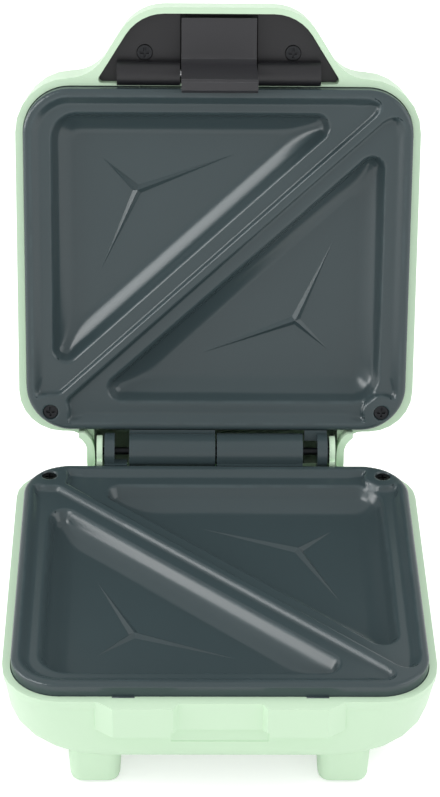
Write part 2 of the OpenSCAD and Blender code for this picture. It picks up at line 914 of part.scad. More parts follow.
module block_screws() {
  color([0.62, 0.63, 0.65])
    at_hinge()
      for (x = block_fixings)
        translate(block_at + [x, 0, 1]) screw(small_screw, 8);
}

// Leads from two poles of the block: one to the element, one through the fuse to its other end
module base_wiring() {
  start = block_at[1] - block_size[1] / 2 + 0.4;
  pin_y = element_rear + pin_out;
  color([0.85, 0.84, 0.8])
    at_hinge() {
      lead(
        [poles[0], start, block_at[2]], [poles[0], start - lead_out, block_at[2]],
        [-element_span / 2, element_rear + lead_turn, -element_z],
        [-element_span / 2, pin_y, -element_z]
      );
      lead(
        [poles[2], start, block_at[2]], [poles[2], start - lead_out - 1, block_at[2] + 6],
        fuse_at + [-fuse_pin - 12, 0, 0], fuse_at + [-fuse_pin, 0, 0]
      );
      lead(
        fuse_at + [fuse_pin, 0, 0], fuse_at + [fuse_pin + 8, 0, 0],
        [element_span / 2, element_rear + lead_turn, -element_z],
        [element_span / 2, pin_y, -element_z]
      );
    }
}

module cord_bush() {
  color([0.16, 0.16, 0.17])
    at_hinge()
      translate([0, inlet_y, inlet_z])
        rotate([90, 0, 0])
          difference() {
            union() {
              translate([0, 0, -3]) cylinder(r = cord_bore_r + 2.6, h = 3);
              translate([0, 0, -1]) cylinder(r = cord_bore_r + 1.25, h = inlet_wall + 2);
              translate([0, 0, inlet_wall + slip]) cylinder(r = bush_lip_r, h = bush_flange);
            }
            translate([0, 0, -3 - cut]) cylinder(r = cord_bore_r, h = inlet_wall + 9);
          }
}

// Lid casing

function lid_sides() = [
  [180, -casing_w / 2], [270, -casing_rear], [180, -tail_half], [270, -tail_out],
  [0, -tail_half], [270, -casing_rear], [0, -casing_w / 2], [90, -casing_front],
  [90 - flank_angle, -handle_root * sin(flank_angle) - casing_front * cos(flank_angle)],
  [90, -handle_front],
  [90 + flank_angle, -handle_root * sin(flank_angle) - casing_front * cos(flank_angle)],
  [90, -casing_front]
];
lid_body_r = plate_r + 1;
tail_bend = min(tail_fillet, casing_w / 2 - lid_body_r - tail_half);
lid_radii = [
  casing_rear_r, -tail_bend, 6, 6, -tail_bend, casing_rear_r,
  casing_r, -handle_fillet, handle_r, handle_r, -handle_fillet, casing_r
];

function pull_in(points, edge, part, z) = [
  for (p = points) [p[0], p[1] < edge ? edge + (p[1] - edge) * part : p[1], z]
];
function lid_ring(inset, part, z) =
  pull_in(rounded(lid_sides(), lid_radii, inset), -casing_front + inset, part, z);
module lid_outer() {
  top = lid_ring(lid_inset(lid_height - 0.3) + 2, lip_left(lid_height), lid_height + cut);
  levels = concat([rim_z, lip_flat, lid_height - lid_round], lid_levels);
  between(rim_z, lid_height)
    loft(concat(
      [lid_ring(0, 1, rim_z - cut)],
      [for (z = levels) lid_ring(lid_inset(z), lip_left(z), z)],
      [top]
    ));
}

// The space inside the lid, without the handle
function lid_body_sides() = concat([for (i = [0:6]) lid_sides()[i]], [[90, -casing_front]]);
lid_body_radii = [lid_body_r, -tail_bend, 6, 6, -tail_bend, lid_body_r, casing_r, casing_r];

module lid_inner() {
  top = lid_height - wall;
  steps = [
    [seat_z - 1 - cut, 0], [top - lid_round, 0], [top - lid_round * 0.5, 1.4], [top + cut, 6.4]
  ];
  between(seat_z - 1, top)
    loft([
      for (step = steps)
        at_height(
          rounded(lid_body_sides(), lid_body_radii, wall + draft * 0.6 + step[1]), step[0]
        )
    ]);
}

// Sides of the black cover under the handle
function cover_sides() = [
  [90 - flank_angle, -handle_root * sin(flank_angle) - casing_front * cos(flank_angle)],
  [90, -handle_front],
  [90 + flank_angle, -handle_root * sin(flank_angle) - casing_front * cos(flank_angle)],
  [270, cover_back - wall - fit]
];
cover_radii = [handle_r, handle_r, 4, 4];
function cover_outline(inset) = rounded(cover_sides(), cover_radii, inset);

module handle_hollow() {
  edge = -cover_back;
  levels = [rim_z - cut, lip_flat, lip_flat + 6, lip_flat + 11];
  loft([
    for (z = levels)
      pull_in(
        cover_outline(wall + lid_inset(z)), edge, z <= lip_flat ? 1 : lip_left(z) - 0.05, z
      )
  ]);
}

// Walls of the tail that reach down past the casing's rim
module lid_tail_skirt() {
  low = -0.5;
  reach = 2 * (tail_half + 3);
  difference() {
    intersection() {
      translate([0, 0, low])
        linear_extrude(rim_z - low + 1) polygon(rounded(lid_body_sides(), lid_body_radii, 0.5));
      translate([-reach / 2, casing_rear - 1.2, low - cut])
        cube([reach, tail_out - casing_rear + 10, rim_z - low + 2]);
    }
    translate([0, 0, low - cut])
      linear_extrude(rim_z - low + 3) polygon(rounded(lid_body_sides(), lid_body_radii, wall + 1));
  }
}

lens_at = [[-13, -118], [13, -118]];

module lid_shell() {
  difference() {
    union() {
      difference() {
        lid_outer();
        lid_inner();
        handle_hollow();
        plate_seat(rim_z - cut, seat_z);
        translate([-ear_half - 1.2, -hinge_back - 2, rim_z - cut])
          cube([2 * (ear_half + 1.2), hinge_back + tail_out - wall - 1.5, 14]);
      }
      lid_tail_skirt();
      for (x = [-1, 1])
        translate([x * screw_x, screw_y, seat_z + snug]) cylinder(r = 3.6, h = lid_height - 3 - seat_z);
      for (x = [-1, 1])
        translate([x * cover_screw[0], cover_screw[1], cover_z + cover_t + snug])
          cylinder(r = 3.4, h = lip_flat + 11.8 - cover_z - cover_t);
      flipped() reflector_pegs(lid_height - wall + 0.5);
    }
    flipped() front_tabs(fit);
    for (x = [-1, 1])
      translate([x * screw_x, screw_y, seat_z - cut])
        cylinder(r = plate_screw[2] + slip, h = screw_bite + cut);
    for (x = [-1, 1])
      translate([x * cover_screw[0], cover_screw[1], cover_z]) cylinder(r = handle_screw[2] + slip, h = 12);
    for (p = lens_at)
      translate([p[0], p[1], lid_height - wall - 4]) cylinder(r = lens_r - 0.7 + slip, h = wall + 8);
  }
}

module lid_casing() {
  color([0.76, 0.89, 0.75]) at_lid() lid_shell();
}

// Lid internals

module lid_element() {
  color([0.45, 0.43, 0.4]) at_lid() flipped() element();
}

module lid_element_clips() {
  color([0.7, 0.71, 0.72]) at_lid() flipped() element_clips();
}

module lid_clip_screws() {
  color([0.62, 0.63, 0.65]) at_lid() flipped() clip_screws();
}

module lid_reflector() {
  color([0.78, 0.79, 0.8]) at_lid() flipped() reflector();
}

thermostat_in = 18;
thermostat_at = [element_span / 2 - thermostat_in, pocket_mid + 30, under_z + 1.6];
thermostat_span = 11;
thermostat_r = 6.6;
thermostat_low = -1.4;
thermostat_top = 3.4;
strap_half = 3.2;
strap_t = 1;
thermostat_posts = [
  for (x = [-1, 1]) [thermostat_at[0] + x * thermostat_span, thermostat_at[1], thermostat_at[2]]
];
tag_at = [0, -2.8, 4.6];
tag_out = 4.4;
tag_w = 3;

module thermostat() {
  color([0.85, 0.84, 0.78])
    at_lid()
      translate(thermostat_at)
        difference() {
          union() {
            translate([-thermostat_span, -strap_half, 0])
              cube([2 * thermostat_span, 2 * strap_half, strap_t]);
            for (x = [-1, 1])
              translate([x * thermostat_span, 0, 0]) cylinder(r = strap_half, h = strap_t);
            translate([0, 0, thermostat_low])
              cylinder(r = thermostat_r, h = thermostat_top - thermostat_low);
            for (x = [-1, 1])
              translate([x * tag_out - tag_w / 2, tag_at[1] - 0.4, thermostat_top - 0.2])
                cube([tag_w, 0.8, 1.8]);
          }
          for (x = [-1, 1])
            translate([x * thermostat_span, 0, -cut])
              cylinder(r = small_screw[2] + play, h = strap_t + 2 * cut);
        }
}

module thermostat_screws() {
  color([0.62, 0.63, 0.65])
    at_lid()
      for (p = thermostat_posts)
        translate([p[0], p[1], p[2] + strap_t]) screw(small_screw, 3.4);
}

lid_lead_x = [-14, 8];
lid_lead_y = -4;
lamp_low = lid_height - 7;
lamp_pin = 1;
lamp_lead_z = lamp_low - 1.1;

// Leads from the hinge side to the element and thermostat, between those two, and to the lamps
module lid_wiring() {
  pin_y = element_rear + pin_out;
  tags = thermostat_at + tag_at;
  color([0.85, 0.84, 0.8])
    at_lid() {
      lead(
        [lid_lead_x[0], lid_lead_y, lead_z], [lid_lead_x[0], lid_lead_y - 2 * lead_out, lead_z],
        [-element_span / 2, element_rear + lead_turn, element_z],
        [-element_span / 2, pin_y, element_z]
      );
      lead(
        [lid_lead_x[1], lid_lead_y, lead_z], [lid_lead_x[1], lid_lead_y - 3 * lead_out, lead_z - 2],
        tags + [-tag_out - 12, 0, 0], tags + [-tag_out - tag_w / 2, 0, 0]
      );
      lead(
        tags + [tag_out + tag_w / 2, 0, 0], tags + [tag_out + 5, 0, 0],
        [element_span / 2, element_rear + lead_turn, element_z],
        [element_span / 2, pin_y, element_z]
      );
      for (p = lens_at)
        lead(
          [p[0] - lamp_pin, p[1] + 0.55, lamp_lead_z],
          [p[0] - lamp_pin, p[1] + lead_turn, lamp_lead_z],
          [p[0] - 6 * lamp_pin, -lead_turn - 2 * lead_out, lamp_lead_z],
          [p[0] - 6 * lamp_pin, -lead_out, lamp_lead_z + 1]
        );
    }
}

module indicator_lamps() {
  color([0.95, 0.6, 0.3])
    at_lid()
      for (p = lens_at)
        translate([p[0], p[1], lamp_low]) {
          cylinder(r = 2.2, h = 5.4);
          for (x = [-lamp_pin, lamp_pin])
            translate([x, 0, -2]) cylinder(r = 0.35, h = 2.5);
        }
}

module lens() {
  difference() {
    union() {
      intersection() {
        translate([0, 0, 0.02]) cylinder(r = lens_r, h = 3);
        translate([0, 0, 1.6 - lens_r * 2]) sphere(lens_r * 2);
      }
      translate([0, 0, -5]) cylinder(r = lens_r - 0.7, h = 5.5);
    }
    translate([0, 0, -5 - cut]) cylinder(r = 2.3, h = 4.6 + cut);
  }
}

module at_lens(i) {
  at_lid() translate([lens_at[i][0], lens_at[i][1], lid_height]) children();
}

module power_lens() {
  color([0.8, 0.12, 0.1]) at_lens(0) lens();
}

module ready_lens() {
  color([0.15, 0.7, 0.2]) at_lens(1) lens();
}

// Handle cover and latch

module cover_shape() {
  channel = latch_w / 2 + 0.5;
  difference() {
    union() {
      translate([0, 0, cover_z]) linear_extrude(cover_t) polygon(cover_outline(wall + 0.4));
      difference() {
        translate([0, 0, cover_z]) linear_extrude(6) polygon(cover_outline(wall + 0.8));
        translate([0, 0, cover_z - cut]) linear_extrude(6 + 2 * cut) polygon(cover_outline(wall + 2.2));
      }
      translate([-channel - 1.6, -handle_front + wall + 0.9, cover_z])
        cube([2 * channel + 3.2, handle_front - wall - 1.9 - cover_back, channel_drop + cover_t]);
      for (x = [-1, 1])
        translate([0, pivot_y, pivot_z])
          axle(boss_r, x > 0 ? channel - 0.1 : -39, x > 0 ? 39 : -channel + 0.1);
    }
    translate([-channel, -handle_front, pivot_z - boss_r - cut])
      cube([
        2 * channel, handle_front - cover_back + wall, channel_drop + cover_z - pivot_z + boss_r + cut
      ]);
    translate([-60, -cover_back, rim_z - 0.1]) cube([120, 20, 20]);
    translate([0, pivot_y, pivot_z]) axle(pin_r + slip, -latch_pin_half - 0.5, latch_pin_half + 0.5);
    for (x = [-1, 1])
      translate([x * cover_screw[0], cover_screw[1], 0]) {
        cylinder(r = handle_screw[2] + play, h = 20);
        cylinder(r = handle_screw[0] + play, h = cover_z + 1);
      }
  }
}

module handle_cover() {
  color([0.18, 0.18, 0.19]) at_lid() cover_shape();
}

module handle_screws() {
  color([0.12, 0.12, 0.13])
    at_lid()
      for (x = [-1, 1])
        translate([x * cover_screw[0], cover_screw[1], cover_z + 0.95])
          flipped() screw(handle_screw, handle_screw_l);
}

latch_pin_half = latch_w / 2 + 7.15;

module latch_pin() {
  color([0.7, 0.7, 0.72]) at_pivot() axle(pin_r, -latch_pin_half, latch_pin_half);
}

// Side view of the latch: distance in front of the pivot, height above the plate's rim
function latch_side() = [
  [tab_reach, -5.2], [tab_reach, -7], [7, -7], [3.6, -8.2], [0, -8.4], [0, -3.6], [0.8, -2.4],
  [0.8, hook_w], [-2.3, hook_w + 0.3], [-2.3, latch_arm - 1.6], [-1, latch_arm],
  [2.2, latch_arm], [3, latch_arm - 0.9], [3.1, latch_arm - 5], [4.4, 1], [5, -1.6], [6.2, -3.4],
  [8.4, -4.4]
];
latch_barrel_r = 3.7;
spring_coil = 2.3;
spring_wire = 0.35;
spring_room = 4.2;

module at_pivot() {
  at_lid() translate([0, pivot_y, pivot_z]) children();
}

module latch() {
  color([0.24, 0.24, 0.25])
    at_pivot()
      difference() {
        union() {
          rotate([90, 0, 90])
            linear_extrude(latch_w, center = true)
              polygon([for (p = latch_side()) [-p[0], pivot_w - p[1]]]);
          axle(latch_barrel_r, -latch_w / 2, latch_w / 2);
        }
        axle(pin_r + slip, -latch_w, latch_w);
        axle(spring_coil + 0.7, -spring_room, spring_room);
        translate([-spring_room, -7.5, 1]) cube([2 * spring_room, 12.5, 8]);
      }
}

// Torsion spring on the latch pin: one leg up to the cover, a helix, and a leg along the latch
spring_turns = 4.75;
spring_rise = 1.1;
function spring_path() =
  let (half = spring_turns * spring_rise / 2, leg = cover_z + channel_drop - pivot_z - spring_wire - 0.5)
  concat(
    [[-half, -spring_coil, leg], [-half, -spring_coil, 1]],
    [
      for (i = [0:spring_turns * 12])
        let (t = i * 30)
        [i / 12 * spring_rise - half, -spring_coil * cos(t), -spring_coil * sin(t)]
    ],
    [[half, -4, spring_coil - 0.3], [half, -10, 1.1 + spring_wire]]
  );

// A round bar swept along points, with its ring kept square to the path
module swept(points, r, sides) {
  n = len(points);
  ring = [
    for (i = [0:n - 1])
      let (
        d = points[min(i + 1, n - 1)] - points[max(i - 1, 0)],
        u0 = cross(d, [1, 0, 0.01]),
        u = u0 / norm(u0),
        v = cross(d, u) / norm(d)
      )
      [for (k = [0:sides - 1]) points[i] + r * (u * cos(k * 360 / sides) + v * sin(k * 360 / sides))]
  ];
  loft(ring);
}

module latch_spring() {
  color([0.72, 0.72, 0.74]) at_pivot() swept(spring_path(), spring_wire, 6);
}

base_casing();
foot_pads();
base_plate();
base_plate_screws();
base_element();
base_element_clips();
base_clip_screws();
base_reflector();
thermal_fuse();
fuse_clip();
fuse_clip_screw();
terminal_block();
terminal_screws();
block_screws();
base_wiring();
cord_bush();
hinge_pin();
lid_casing();
lid_plate();
lid_plate_screws();
lid_element();
lid_element_clips();
lid_clip_screws();
lid_reflector();
thermostat();
thermostat_screws();
lid_wiring();
indicator_lamps();
power_lens();
ready_lens();
handle_cover();
handle_screws();
latch_pin();
latch_spring();
latch();
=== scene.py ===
"""Looks of a hinged sandwich toaster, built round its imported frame."""

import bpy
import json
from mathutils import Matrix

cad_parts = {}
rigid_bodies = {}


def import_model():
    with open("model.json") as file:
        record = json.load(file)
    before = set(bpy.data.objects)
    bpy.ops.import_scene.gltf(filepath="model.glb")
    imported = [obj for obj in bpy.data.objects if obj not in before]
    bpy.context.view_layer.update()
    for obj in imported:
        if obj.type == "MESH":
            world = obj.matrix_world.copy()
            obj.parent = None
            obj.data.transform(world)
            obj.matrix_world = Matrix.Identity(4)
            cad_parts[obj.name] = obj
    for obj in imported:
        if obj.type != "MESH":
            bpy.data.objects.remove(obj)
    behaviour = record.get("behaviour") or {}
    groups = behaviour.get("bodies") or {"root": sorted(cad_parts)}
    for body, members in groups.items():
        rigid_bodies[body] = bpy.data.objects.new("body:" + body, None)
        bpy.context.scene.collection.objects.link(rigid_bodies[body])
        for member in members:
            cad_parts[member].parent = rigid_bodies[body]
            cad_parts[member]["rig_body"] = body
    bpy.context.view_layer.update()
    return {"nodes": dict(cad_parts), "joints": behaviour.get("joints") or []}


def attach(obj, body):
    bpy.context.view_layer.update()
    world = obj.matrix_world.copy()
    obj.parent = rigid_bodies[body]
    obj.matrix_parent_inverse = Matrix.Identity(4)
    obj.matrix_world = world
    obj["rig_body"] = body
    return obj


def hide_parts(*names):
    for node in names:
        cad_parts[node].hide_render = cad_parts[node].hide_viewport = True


bl_info = {
    "name": "Sandwich toaster",
    "version": (1, 0, 0),
    "blender": (4, 5, 0),
    "location": "3D View > Sidebar > Toaster",
    "description": "Finished pieces, materials and studio for a hinged sandwich toaster",
    "category": "Add Mesh",
}

import json
import math

import bmesh
import bpy
import numpy as np
from mathutils import Matrix, Vector

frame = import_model()
NODES = frame["nodes"]
HINGE = next(j for j in frame["joints"] if j["name"] == "lid_hinge")
HINGE_AT = Vector(HINGE["pos_m"])
OPEN_ANGLE = math.radians(HINGE["range_deg"][1])

MM = 0.001
MERGE = 0.000002


def linear(red, green, blue):
    """A screen colour of 0 to 255 a channel as the linear colour that shaders take."""
    shares = (c / 255 for c in (red, green, blue))
    return tuple(c / 12.92 if c <= 0.04045 else ((c + 0.055) / 1.055) ** 2.4 for c in shares)


def colour(name, description, default):
    return bpy.props.FloatVectorProperty(
        name=name, description=description, subtype="COLOR", size=3, min=0, max=1, default=default
    )


def length(name, description, default):
    return bpy.props.FloatProperty(
        name=name, description=description, unit="LENGTH", min=0, soft_max=0.01, default=default
    )


def share(name, description, default):
    return bpy.props.FloatProperty(
        name=name, description=description, subtype="FACTOR", min=0, max=1, default=default
    )


def power(name, description, default):
    return bpy.props.FloatProperty(
        name=name, description=description, unit="POWER", min=0, soft_max=200, default=default
    )


class ToasterColours(bpy.types.PropertyGroup):
    """Colours and gloss of the toaster's finishes."""

    casing: colour("Casing", "Pale green moulded plastic of both casings", linear(205, 232, 203))
    plate: colour("Plate coating", "Non-stick coating of both cooking plates", linear(57, 70, 73))
    cover: colour("Handle cover", "Black plastic under the handle", linear(24, 24, 27))
    latch: colour("Latch", "Black plastic of the latch", linear(44, 44, 47))
    screw: colour("Black screws", "Black oxide on the visible screws", linear(52, 53, 55))
    casing_roughness: share("Casing roughness", "Gloss of the green plastic", 0.42)
    plate_roughness: share("Plate roughness", "Gloss of the plate coating", 0.24)


class ToasterEdges(bpy.types.PropertyGroup):
    """Radii of the edges that the moulds leave rounded."""

    casing: length("Casing edges", "Radius of the casings' outer edges", 0.7 * MM)
    cover: length("Cover edges", "Radius of the black plastic's edges", 0.35 * MM)
    screw: length("Screw edges", "Radius of a screw head's rim", 0.15 * MM)


class ToasterStudio(bpy.types.PropertyGroup):
    """Lamps and backdrop."""

    left: power("Left lamp", "Soft lamp high on the left", 5)
    right: power("Right lamp", "Soft lamp high on the right", 3.5)
    front: power("Front lamp", "Wide, weak lamp in front", 4.5)
    horizon: share("Room at the horizon", "Light that the white room gives back low down", 1.0)
    ceiling: share("Room overhead", "Light that the grey ceiling gives back", 0.8)
    window: bpy.props.FloatProperty(
        name="Softbox", description="Brightness of the softbox on the left in reflections",
        min=0, soft_max=12, default=8.0,
    )
    floor: share("Floor glow", "How much the white floor lifts its own shadow", 0.5)


# Shader building


def add(tree, kind, settings=None, **sockets):
    """A new node, with its settings, and with each named input linked or set."""
    made = tree.nodes.new(kind)
    for name, value in (settings or {}).items():
        setattr(made, name, value)
    for name, value in sockets.items():
        join(tree, value, made.inputs[name.replace("_", " ")])
    return made


def join(tree, value, socket):
    if isinstance(value, bpy.types.NodeSocket):
        tree.links.new(value, socket)
    else:
        socket.default_value = value


def calculate(tree, operation, *values, clamp=False):
    made = add(tree, "ShaderNodeMath", {"operation": operation, "use_clamp": clamp})
    for socket, value in zip(made.inputs, values):
        join(tree, value, socket)
    return made.outputs[0]


def ramp(tree, value, low, high, to_low=0.0, to_high=1.0):
    made = add(
        tree, "ShaderNodeMapRange", {"interpolation_type": "SMOOTHSTEP"},
        Value=value, From_Min=low, From_Max=high, To_Min=to_low, To_Max=to_high,
    )
    return made.outputs["Result"]


def noise(tree, vector, scale, detail=2.0, roughness=0.5):
    made = add(
        tree, "ShaderNodeTexNoise", Vector=vector, Scale=scale, Detail=detail, Roughness=roughness
    )
    return made.outputs["Fac"]


FLOAT = "NodeSocketFloat"
COLOUR = "NodeSocketColor"
VECTOR = "NodeSocketVector"


def start_group(name, inputs, outputs):
    """An empty shader group with its named sockets, and its input and output nodes."""
    tree = bpy.data.node_groups.new(name, "ShaderNodeTree")
    for label, kind, default in inputs:
        made = tree.interface.new_socket(label, in_out="INPUT", socket_type=kind)
        if default is not None:
            made.default_value = default
    for label, kind in outputs:
        tree.interface.new_socket(label, in_out="OUTPUT", socket_type=kind)
    return tree, tree.nodes.new("NodeGroupInput").outputs, tree.nodes.new("NodeGroupOutput").inputs


def moulded_grain():
    """Fine spark-eroded grain of a plastic mould, with a little waviness under it."""
    tree, given, out = start_group(
        "Moulded grain",
        [("Vector", VECTOR, None), ("Size", FLOAT, 0.0006), ("Waviness", FLOAT, 0.3)],
        [("Height", FLOAT)],
    )
    fine = calculate(tree, "DIVIDE", 1.0, given["Size"])
    grain = noise(tree, given["Vector"], fine, 4.0, 0.6)
    waves = noise(tree, given["Vector"], 45.0, 1.0)
    waves = calculate(tree, "MULTIPLY", waves, given["Waviness"])
    join(tree, calculate(tree, "ADD", grain, waves), out["Height"])
    return tree


def colour_drift():
    """Slow, faint lighter and darker areas, as in any real surface."""
    tree, given, out = start_group(
        "Colour drift",
        [("Vector", VECTOR, None), ("Colour", COLOUR, None), ("Scale", FLOAT, 18.0),
         ("Amount", FLOAT, 0.05)],
        [("Colour", COLOUR)],
    )
    slow = noise(tree, given["Vector"], given["Scale"], 3.0)
    drift = calculate(tree, "SUBTRACT", slow, 0.5)
    value = calculate(tree, "MULTIPLY_ADD", drift, given["Amount"], 1.0)
    shade = add(tree, "ShaderNodeHueSaturation", Color=given["Colour"], Value=value)
    join(tree, shade.outputs["Color"], out["Colour"])
    return tree


def rubbed_edges_and_highlight():
    """Rounded edges are lightened towards a paler colour, in patches: partly rubbing, partly a
    painted highlight.
    """
    tree, given, out = start_group(
        "Rubbed edges and painted highlight",
        [("Vector", VECTOR, None), ("Colour", COLOUR, None), ("Worn", COLOUR, None),
         ("Scale", FLOAT, 120.0), ("Amount", FLOAT, 0.3)],
        [("Colour", COLOUR), ("Mask", FLOAT)],
    )
    edge = add(tree, "ShaderNodeAttribute", {"attribute_name": "edge"}).outputs["Fac"]
    patches = ramp(tree, noise(tree, given["Vector"], given["Scale"], 4.0), 0.38, 0.66)
    mask = calculate(tree, "MULTIPLY", edge, calculate(tree, "MULTIPLY", patches, given["Amount"]))
    mix = add(tree, "ShaderNodeMix", {"data_type": "RGBA"})
    for socket, value in ((mix.inputs[0], mask), (mix.inputs[6], given["Colour"]),
                          (mix.inputs[7], given["Worn"])):
        join(tree, value, socket)
    join(tree, mix.outputs[2], out["Colour"])
    join(tree, mask, out["Mask"])
    return tree


def handling():
    """Gloss that hands and cloths have made uneven."""
    tree, given, out = start_group(
        "Handling",
        [("Vector", VECTOR, None), ("Roughness", FLOAT, 0.4), ("Spread", FLOAT, 0.06),
         ("Scale", FLOAT, 30.0)],
        [("Roughness", FLOAT)],
    )
    broad = noise(tree, given["Vector"], given["Scale"], 4.0, 0.65)
    smears = calculate(tree, "SUBTRACT", broad, 0.5)
    value = calculate(tree, "MULTIPLY_ADD", smears, given["Spread"], given["Roughness"], clamp=True)
    join(tree, value, out["Roughness"])
    return tree


def sprayed_coat():
    """Orange peel of a sprayed and baked coating, with fine grit in it."""
    tree, given, out = start_group(
        "Sprayed coat",
        [("Vector", VECTOR, None), ("Size", FLOAT, 0.0011), ("Grit", FLOAT, 0.35)],
        [("Height", FLOAT)],
    )
    scale = calculate(tree, "DIVIDE", 1.0, given["Size"])
    peel = noise(tree, given["Vector"], scale, 1.0)
    grit = noise(tree, given["Vector"], calculate(tree, "MULTIPLY", scale, 6.0), 2.0)
    grit = calculate(tree, "MULTIPLY", grit, given["Grit"])
    join(tree, calculate(tree, "ADD", peel, grit), out["Height"])
    return tree


def drawn_lines():
    """Fine lines that a drawing or rolling tool leaves along the x direction."""
    tree, given, out = start_group(
        "Drawn lines",
        [("Vector", VECTOR, None), ("Scale", FLOAT, 2500.0), ("Roughness", FLOAT, 0.3)],
        [("Height", FLOAT), ("Roughness", FLOAT)],
    )
    along = add(tree, "ShaderNodeVectorMath", {"operation": "MULTIPLY"})
    join(tree, given["Vector"], along.inputs[0])
    join(tree, (0.06, 1.0, 1.0), along.inputs[1])
    lines = noise(tree, along.outputs[0], given["Scale"], 2.0)
    join(tree, lines, out["Height"])
    spread = calculate(tree, "SUBTRACT", lines, 0.5)
    join(tree, calculate(tree, "MULTIPLY_ADD", spread, 0.25, given["Roughness"]), out["Roughness"])
    return tree


def heat_tint():
    """Straw and blue-brown bloom that heat leaves on bare steel."""
    tree, given, out = start_group(
        "Heat tint",
        [("Vector", VECTOR, None), ("Colour", COLOUR, None), ("Tint", COLOUR, None),
         ("Scale", FLOAT, 60.0), ("Amount", FLOAT, 0.5)],
        [("Colour", COLOUR)],
    )
    bloom = ramp(tree, noise(tree, given["Vector"], given["Scale"], 3.0), 0.35, 0.65)
    mix = add(tree, "ShaderNodeMix", {"data_type": "RGBA"})
    fac = calculate(tree, "MULTIPLY", bloom, given["Amount"])
    for socket, value in ((mix.inputs[0], fac), (mix.inputs[6], given["Colour"]),
                          (mix.inputs[7], given["Tint"])):
        join(tree, value, socket)
    join(tree, mix.outputs[2], out["Colour"])
    return tree


def braid():
    """Diagonal weave of a glass fibre sleeve."""
    tree, given, out = start_group(
        "Braid",
        [("Vector", VECTOR, None), ("Scale", FLOAT, 900.0)],
        [("Height", FLOAT)],
    )
    waves = []
    for turn in ((1.0, 1.0, 0.4), (1.0, -1.0, 0.4)):
        tilted = add(tree, "ShaderNodeVectorMath", {"operation": "DOT_PRODUCT"})
        join(tree, given["Vector"], tilted.inputs[0])
        join(tree, turn, tilted.inputs[1])
        angle = calculate(tree, "MULTIPLY", tilted.outputs["Value"], given["Scale"])
        waves.append(calculate(tree, "SINE", angle))
    join(tree, calculate(tree, "MAXIMUM", *waves), out["Height"])
    return tree


GROUP_MAKERS = {
    "grain": moulded_grain, "drift": colour_drift, "rubbing_and_highlight": rubbed_edges_and_highlight, "handling": handling,
    "coat": sprayed_coat, "lines": drawn_lines, "tint": heat_tint, "braid": braid,
}
GROUPS = {}


def group(tree, name, **sockets):
    """Places a shared effect in a material."""
    if name not in GROUPS:
        GROUPS[name] = GROUP_MAKERS[name]()
    made = tree.nodes.new("ShaderNodeGroup")
    made.node_tree = GROUPS[name]
    for label, value in sockets.items():
        join(tree, value, made.inputs[label.replace("_", " ")])
    return made.outputs


def rgba(value):
    return (*value, 1.0)


def start_material(name, **constants):
    """A material with its shader's constants set, and the place on the piece."""
    made = bpy.data.materials.new(name)
    made.use_nodes = True
    tree = made.node_tree
    shader = tree.nodes["Principled BSDF"]
    for label, value in constants.items():
        shader.inputs[label.replace("_", " ")].default_value = value
    return made, tree, shader, add(tree, "ShaderNodeTexCoord").outputs["Object"]


def bump(tree, shader, height, distance, strength=1.0):
    made = add(tree, "ShaderNodeBump", Height=height, Distance=distance, Strength=strength)
    join(tree, made.outputs["Normal"], shader.inputs["Normal"])


def moulded_plastic(name, base, roughness, rubbed_and_lit, rubbing_and_highlight=0.3, grain=0.0006, depth=0.00001, drift=0.04):
    """Moulded plastic: drift of colour, edges lightened as rubbing and a painted highlight, uneven
    gloss and a fine grain.
    """
    made, tree, shader, place = start_material(name, IOR=1.48)
    tone = group(tree, "drift", Vector=place, Colour=rgba(base), Amount=drift)["Colour"]
    edges = group(tree, "rubbing_and_highlight", Vector=place, Colour=tone, Worn=rgba(rubbed_and_lit), Amount=rubbing_and_highlight)
    join(tree, edges["Colour"], shader.inputs["Base Color"])
    gloss = group(tree, "handling", Vector=place, Roughness=roughness, Spread=0.1)["Roughness"]
    join(tree, gloss, shader.inputs["Roughness"])
    bump(tree, shader, group(tree, "grain", Vector=place, Size=grain)["Height"], depth)
    return made


def plate_coating(settings):
    """Dark baked non-stick coating on the cast plates."""
    made, tree, shader, place = start_material("plate_coating", IOR=1.45)
    tone = group(
        tree, "drift", Vector=place, Colour=rgba(settings.plate), Scale=26.0, Amount=0.12
    )["Colour"]
    # Paler edge colour: rubbing and a painted highlight along the rims, ridge and pocket edges.
    rubbed_and_lit = rgba([min(1, 1.5 * c) for c in settings.plate])
    edges = group(tree, "rubbing_and_highlight", Vector=place, Colour=tone, Worn=rubbed_and_lit, Amount=0.35, Scale=90.0)
    join(tree, edges["Colour"], shader.inputs["Base Color"])
    gloss = group(
        tree, "handling", Vector=place, Roughness=settings.plate_roughness, Spread=0.06, Scale=20.0
    )["Roughness"]
    join(tree, gloss, shader.inputs["Roughness"])
    bump(tree, shader, group(tree, "coat", Vector=place)["Height"], 0.000012)
    return made


def bare_metal(
    name, base, roughness, tint=(0.5, 0.42, 0.3), heat=0.0, scale=2500.0, depth=0.000004
):
    """Bare metal with drawn lines and, where it gets hot, a heat tint."""
    made, tree, shader, place = start_material(name, Metallic=1.0)
    tone = group(
        tree, "tint", Vector=place, Colour=rgba(base), Tint=rgba(tint), Amount=heat
    )["Colour"]
    # Paler edge colour: rubbed bright metal and a painted highlight.
    shine = [min(1, 1.2 * c) for c in base]
    edges = group(tree, "rubbing_and_highlight", Vector=place, Colour=tone, Worn=rgba(shine), Amount=0.5)
    join(tree, edges["Colour"], shader.inputs["Base Color"])
    lines = group(tree, "lines", Vector=place, Scale=scale, Roughness=roughness)
    join(tree, lines["Roughness"], shader.inputs["Roughness"])
    bump(tree, shader, lines["Height"], depth)
    return made


def ceramic():
    """Cream fired ceramic with a sandy skin."""
    made, tree, shader, place = start_material("ceramic", Roughness=0.75)
    tone = group(tree, "drift", Vector=place, Colour=rgba(linear(232, 224, 205)), Scale=140.0,
                 Amount=0.14)["Colour"]
    join(tree, tone, shader.inputs["Base Color"])
    bump(tree, shader, group(tree, "grain", Vector=place, Size=0.0004)["Height"], 0.00004)
    return made


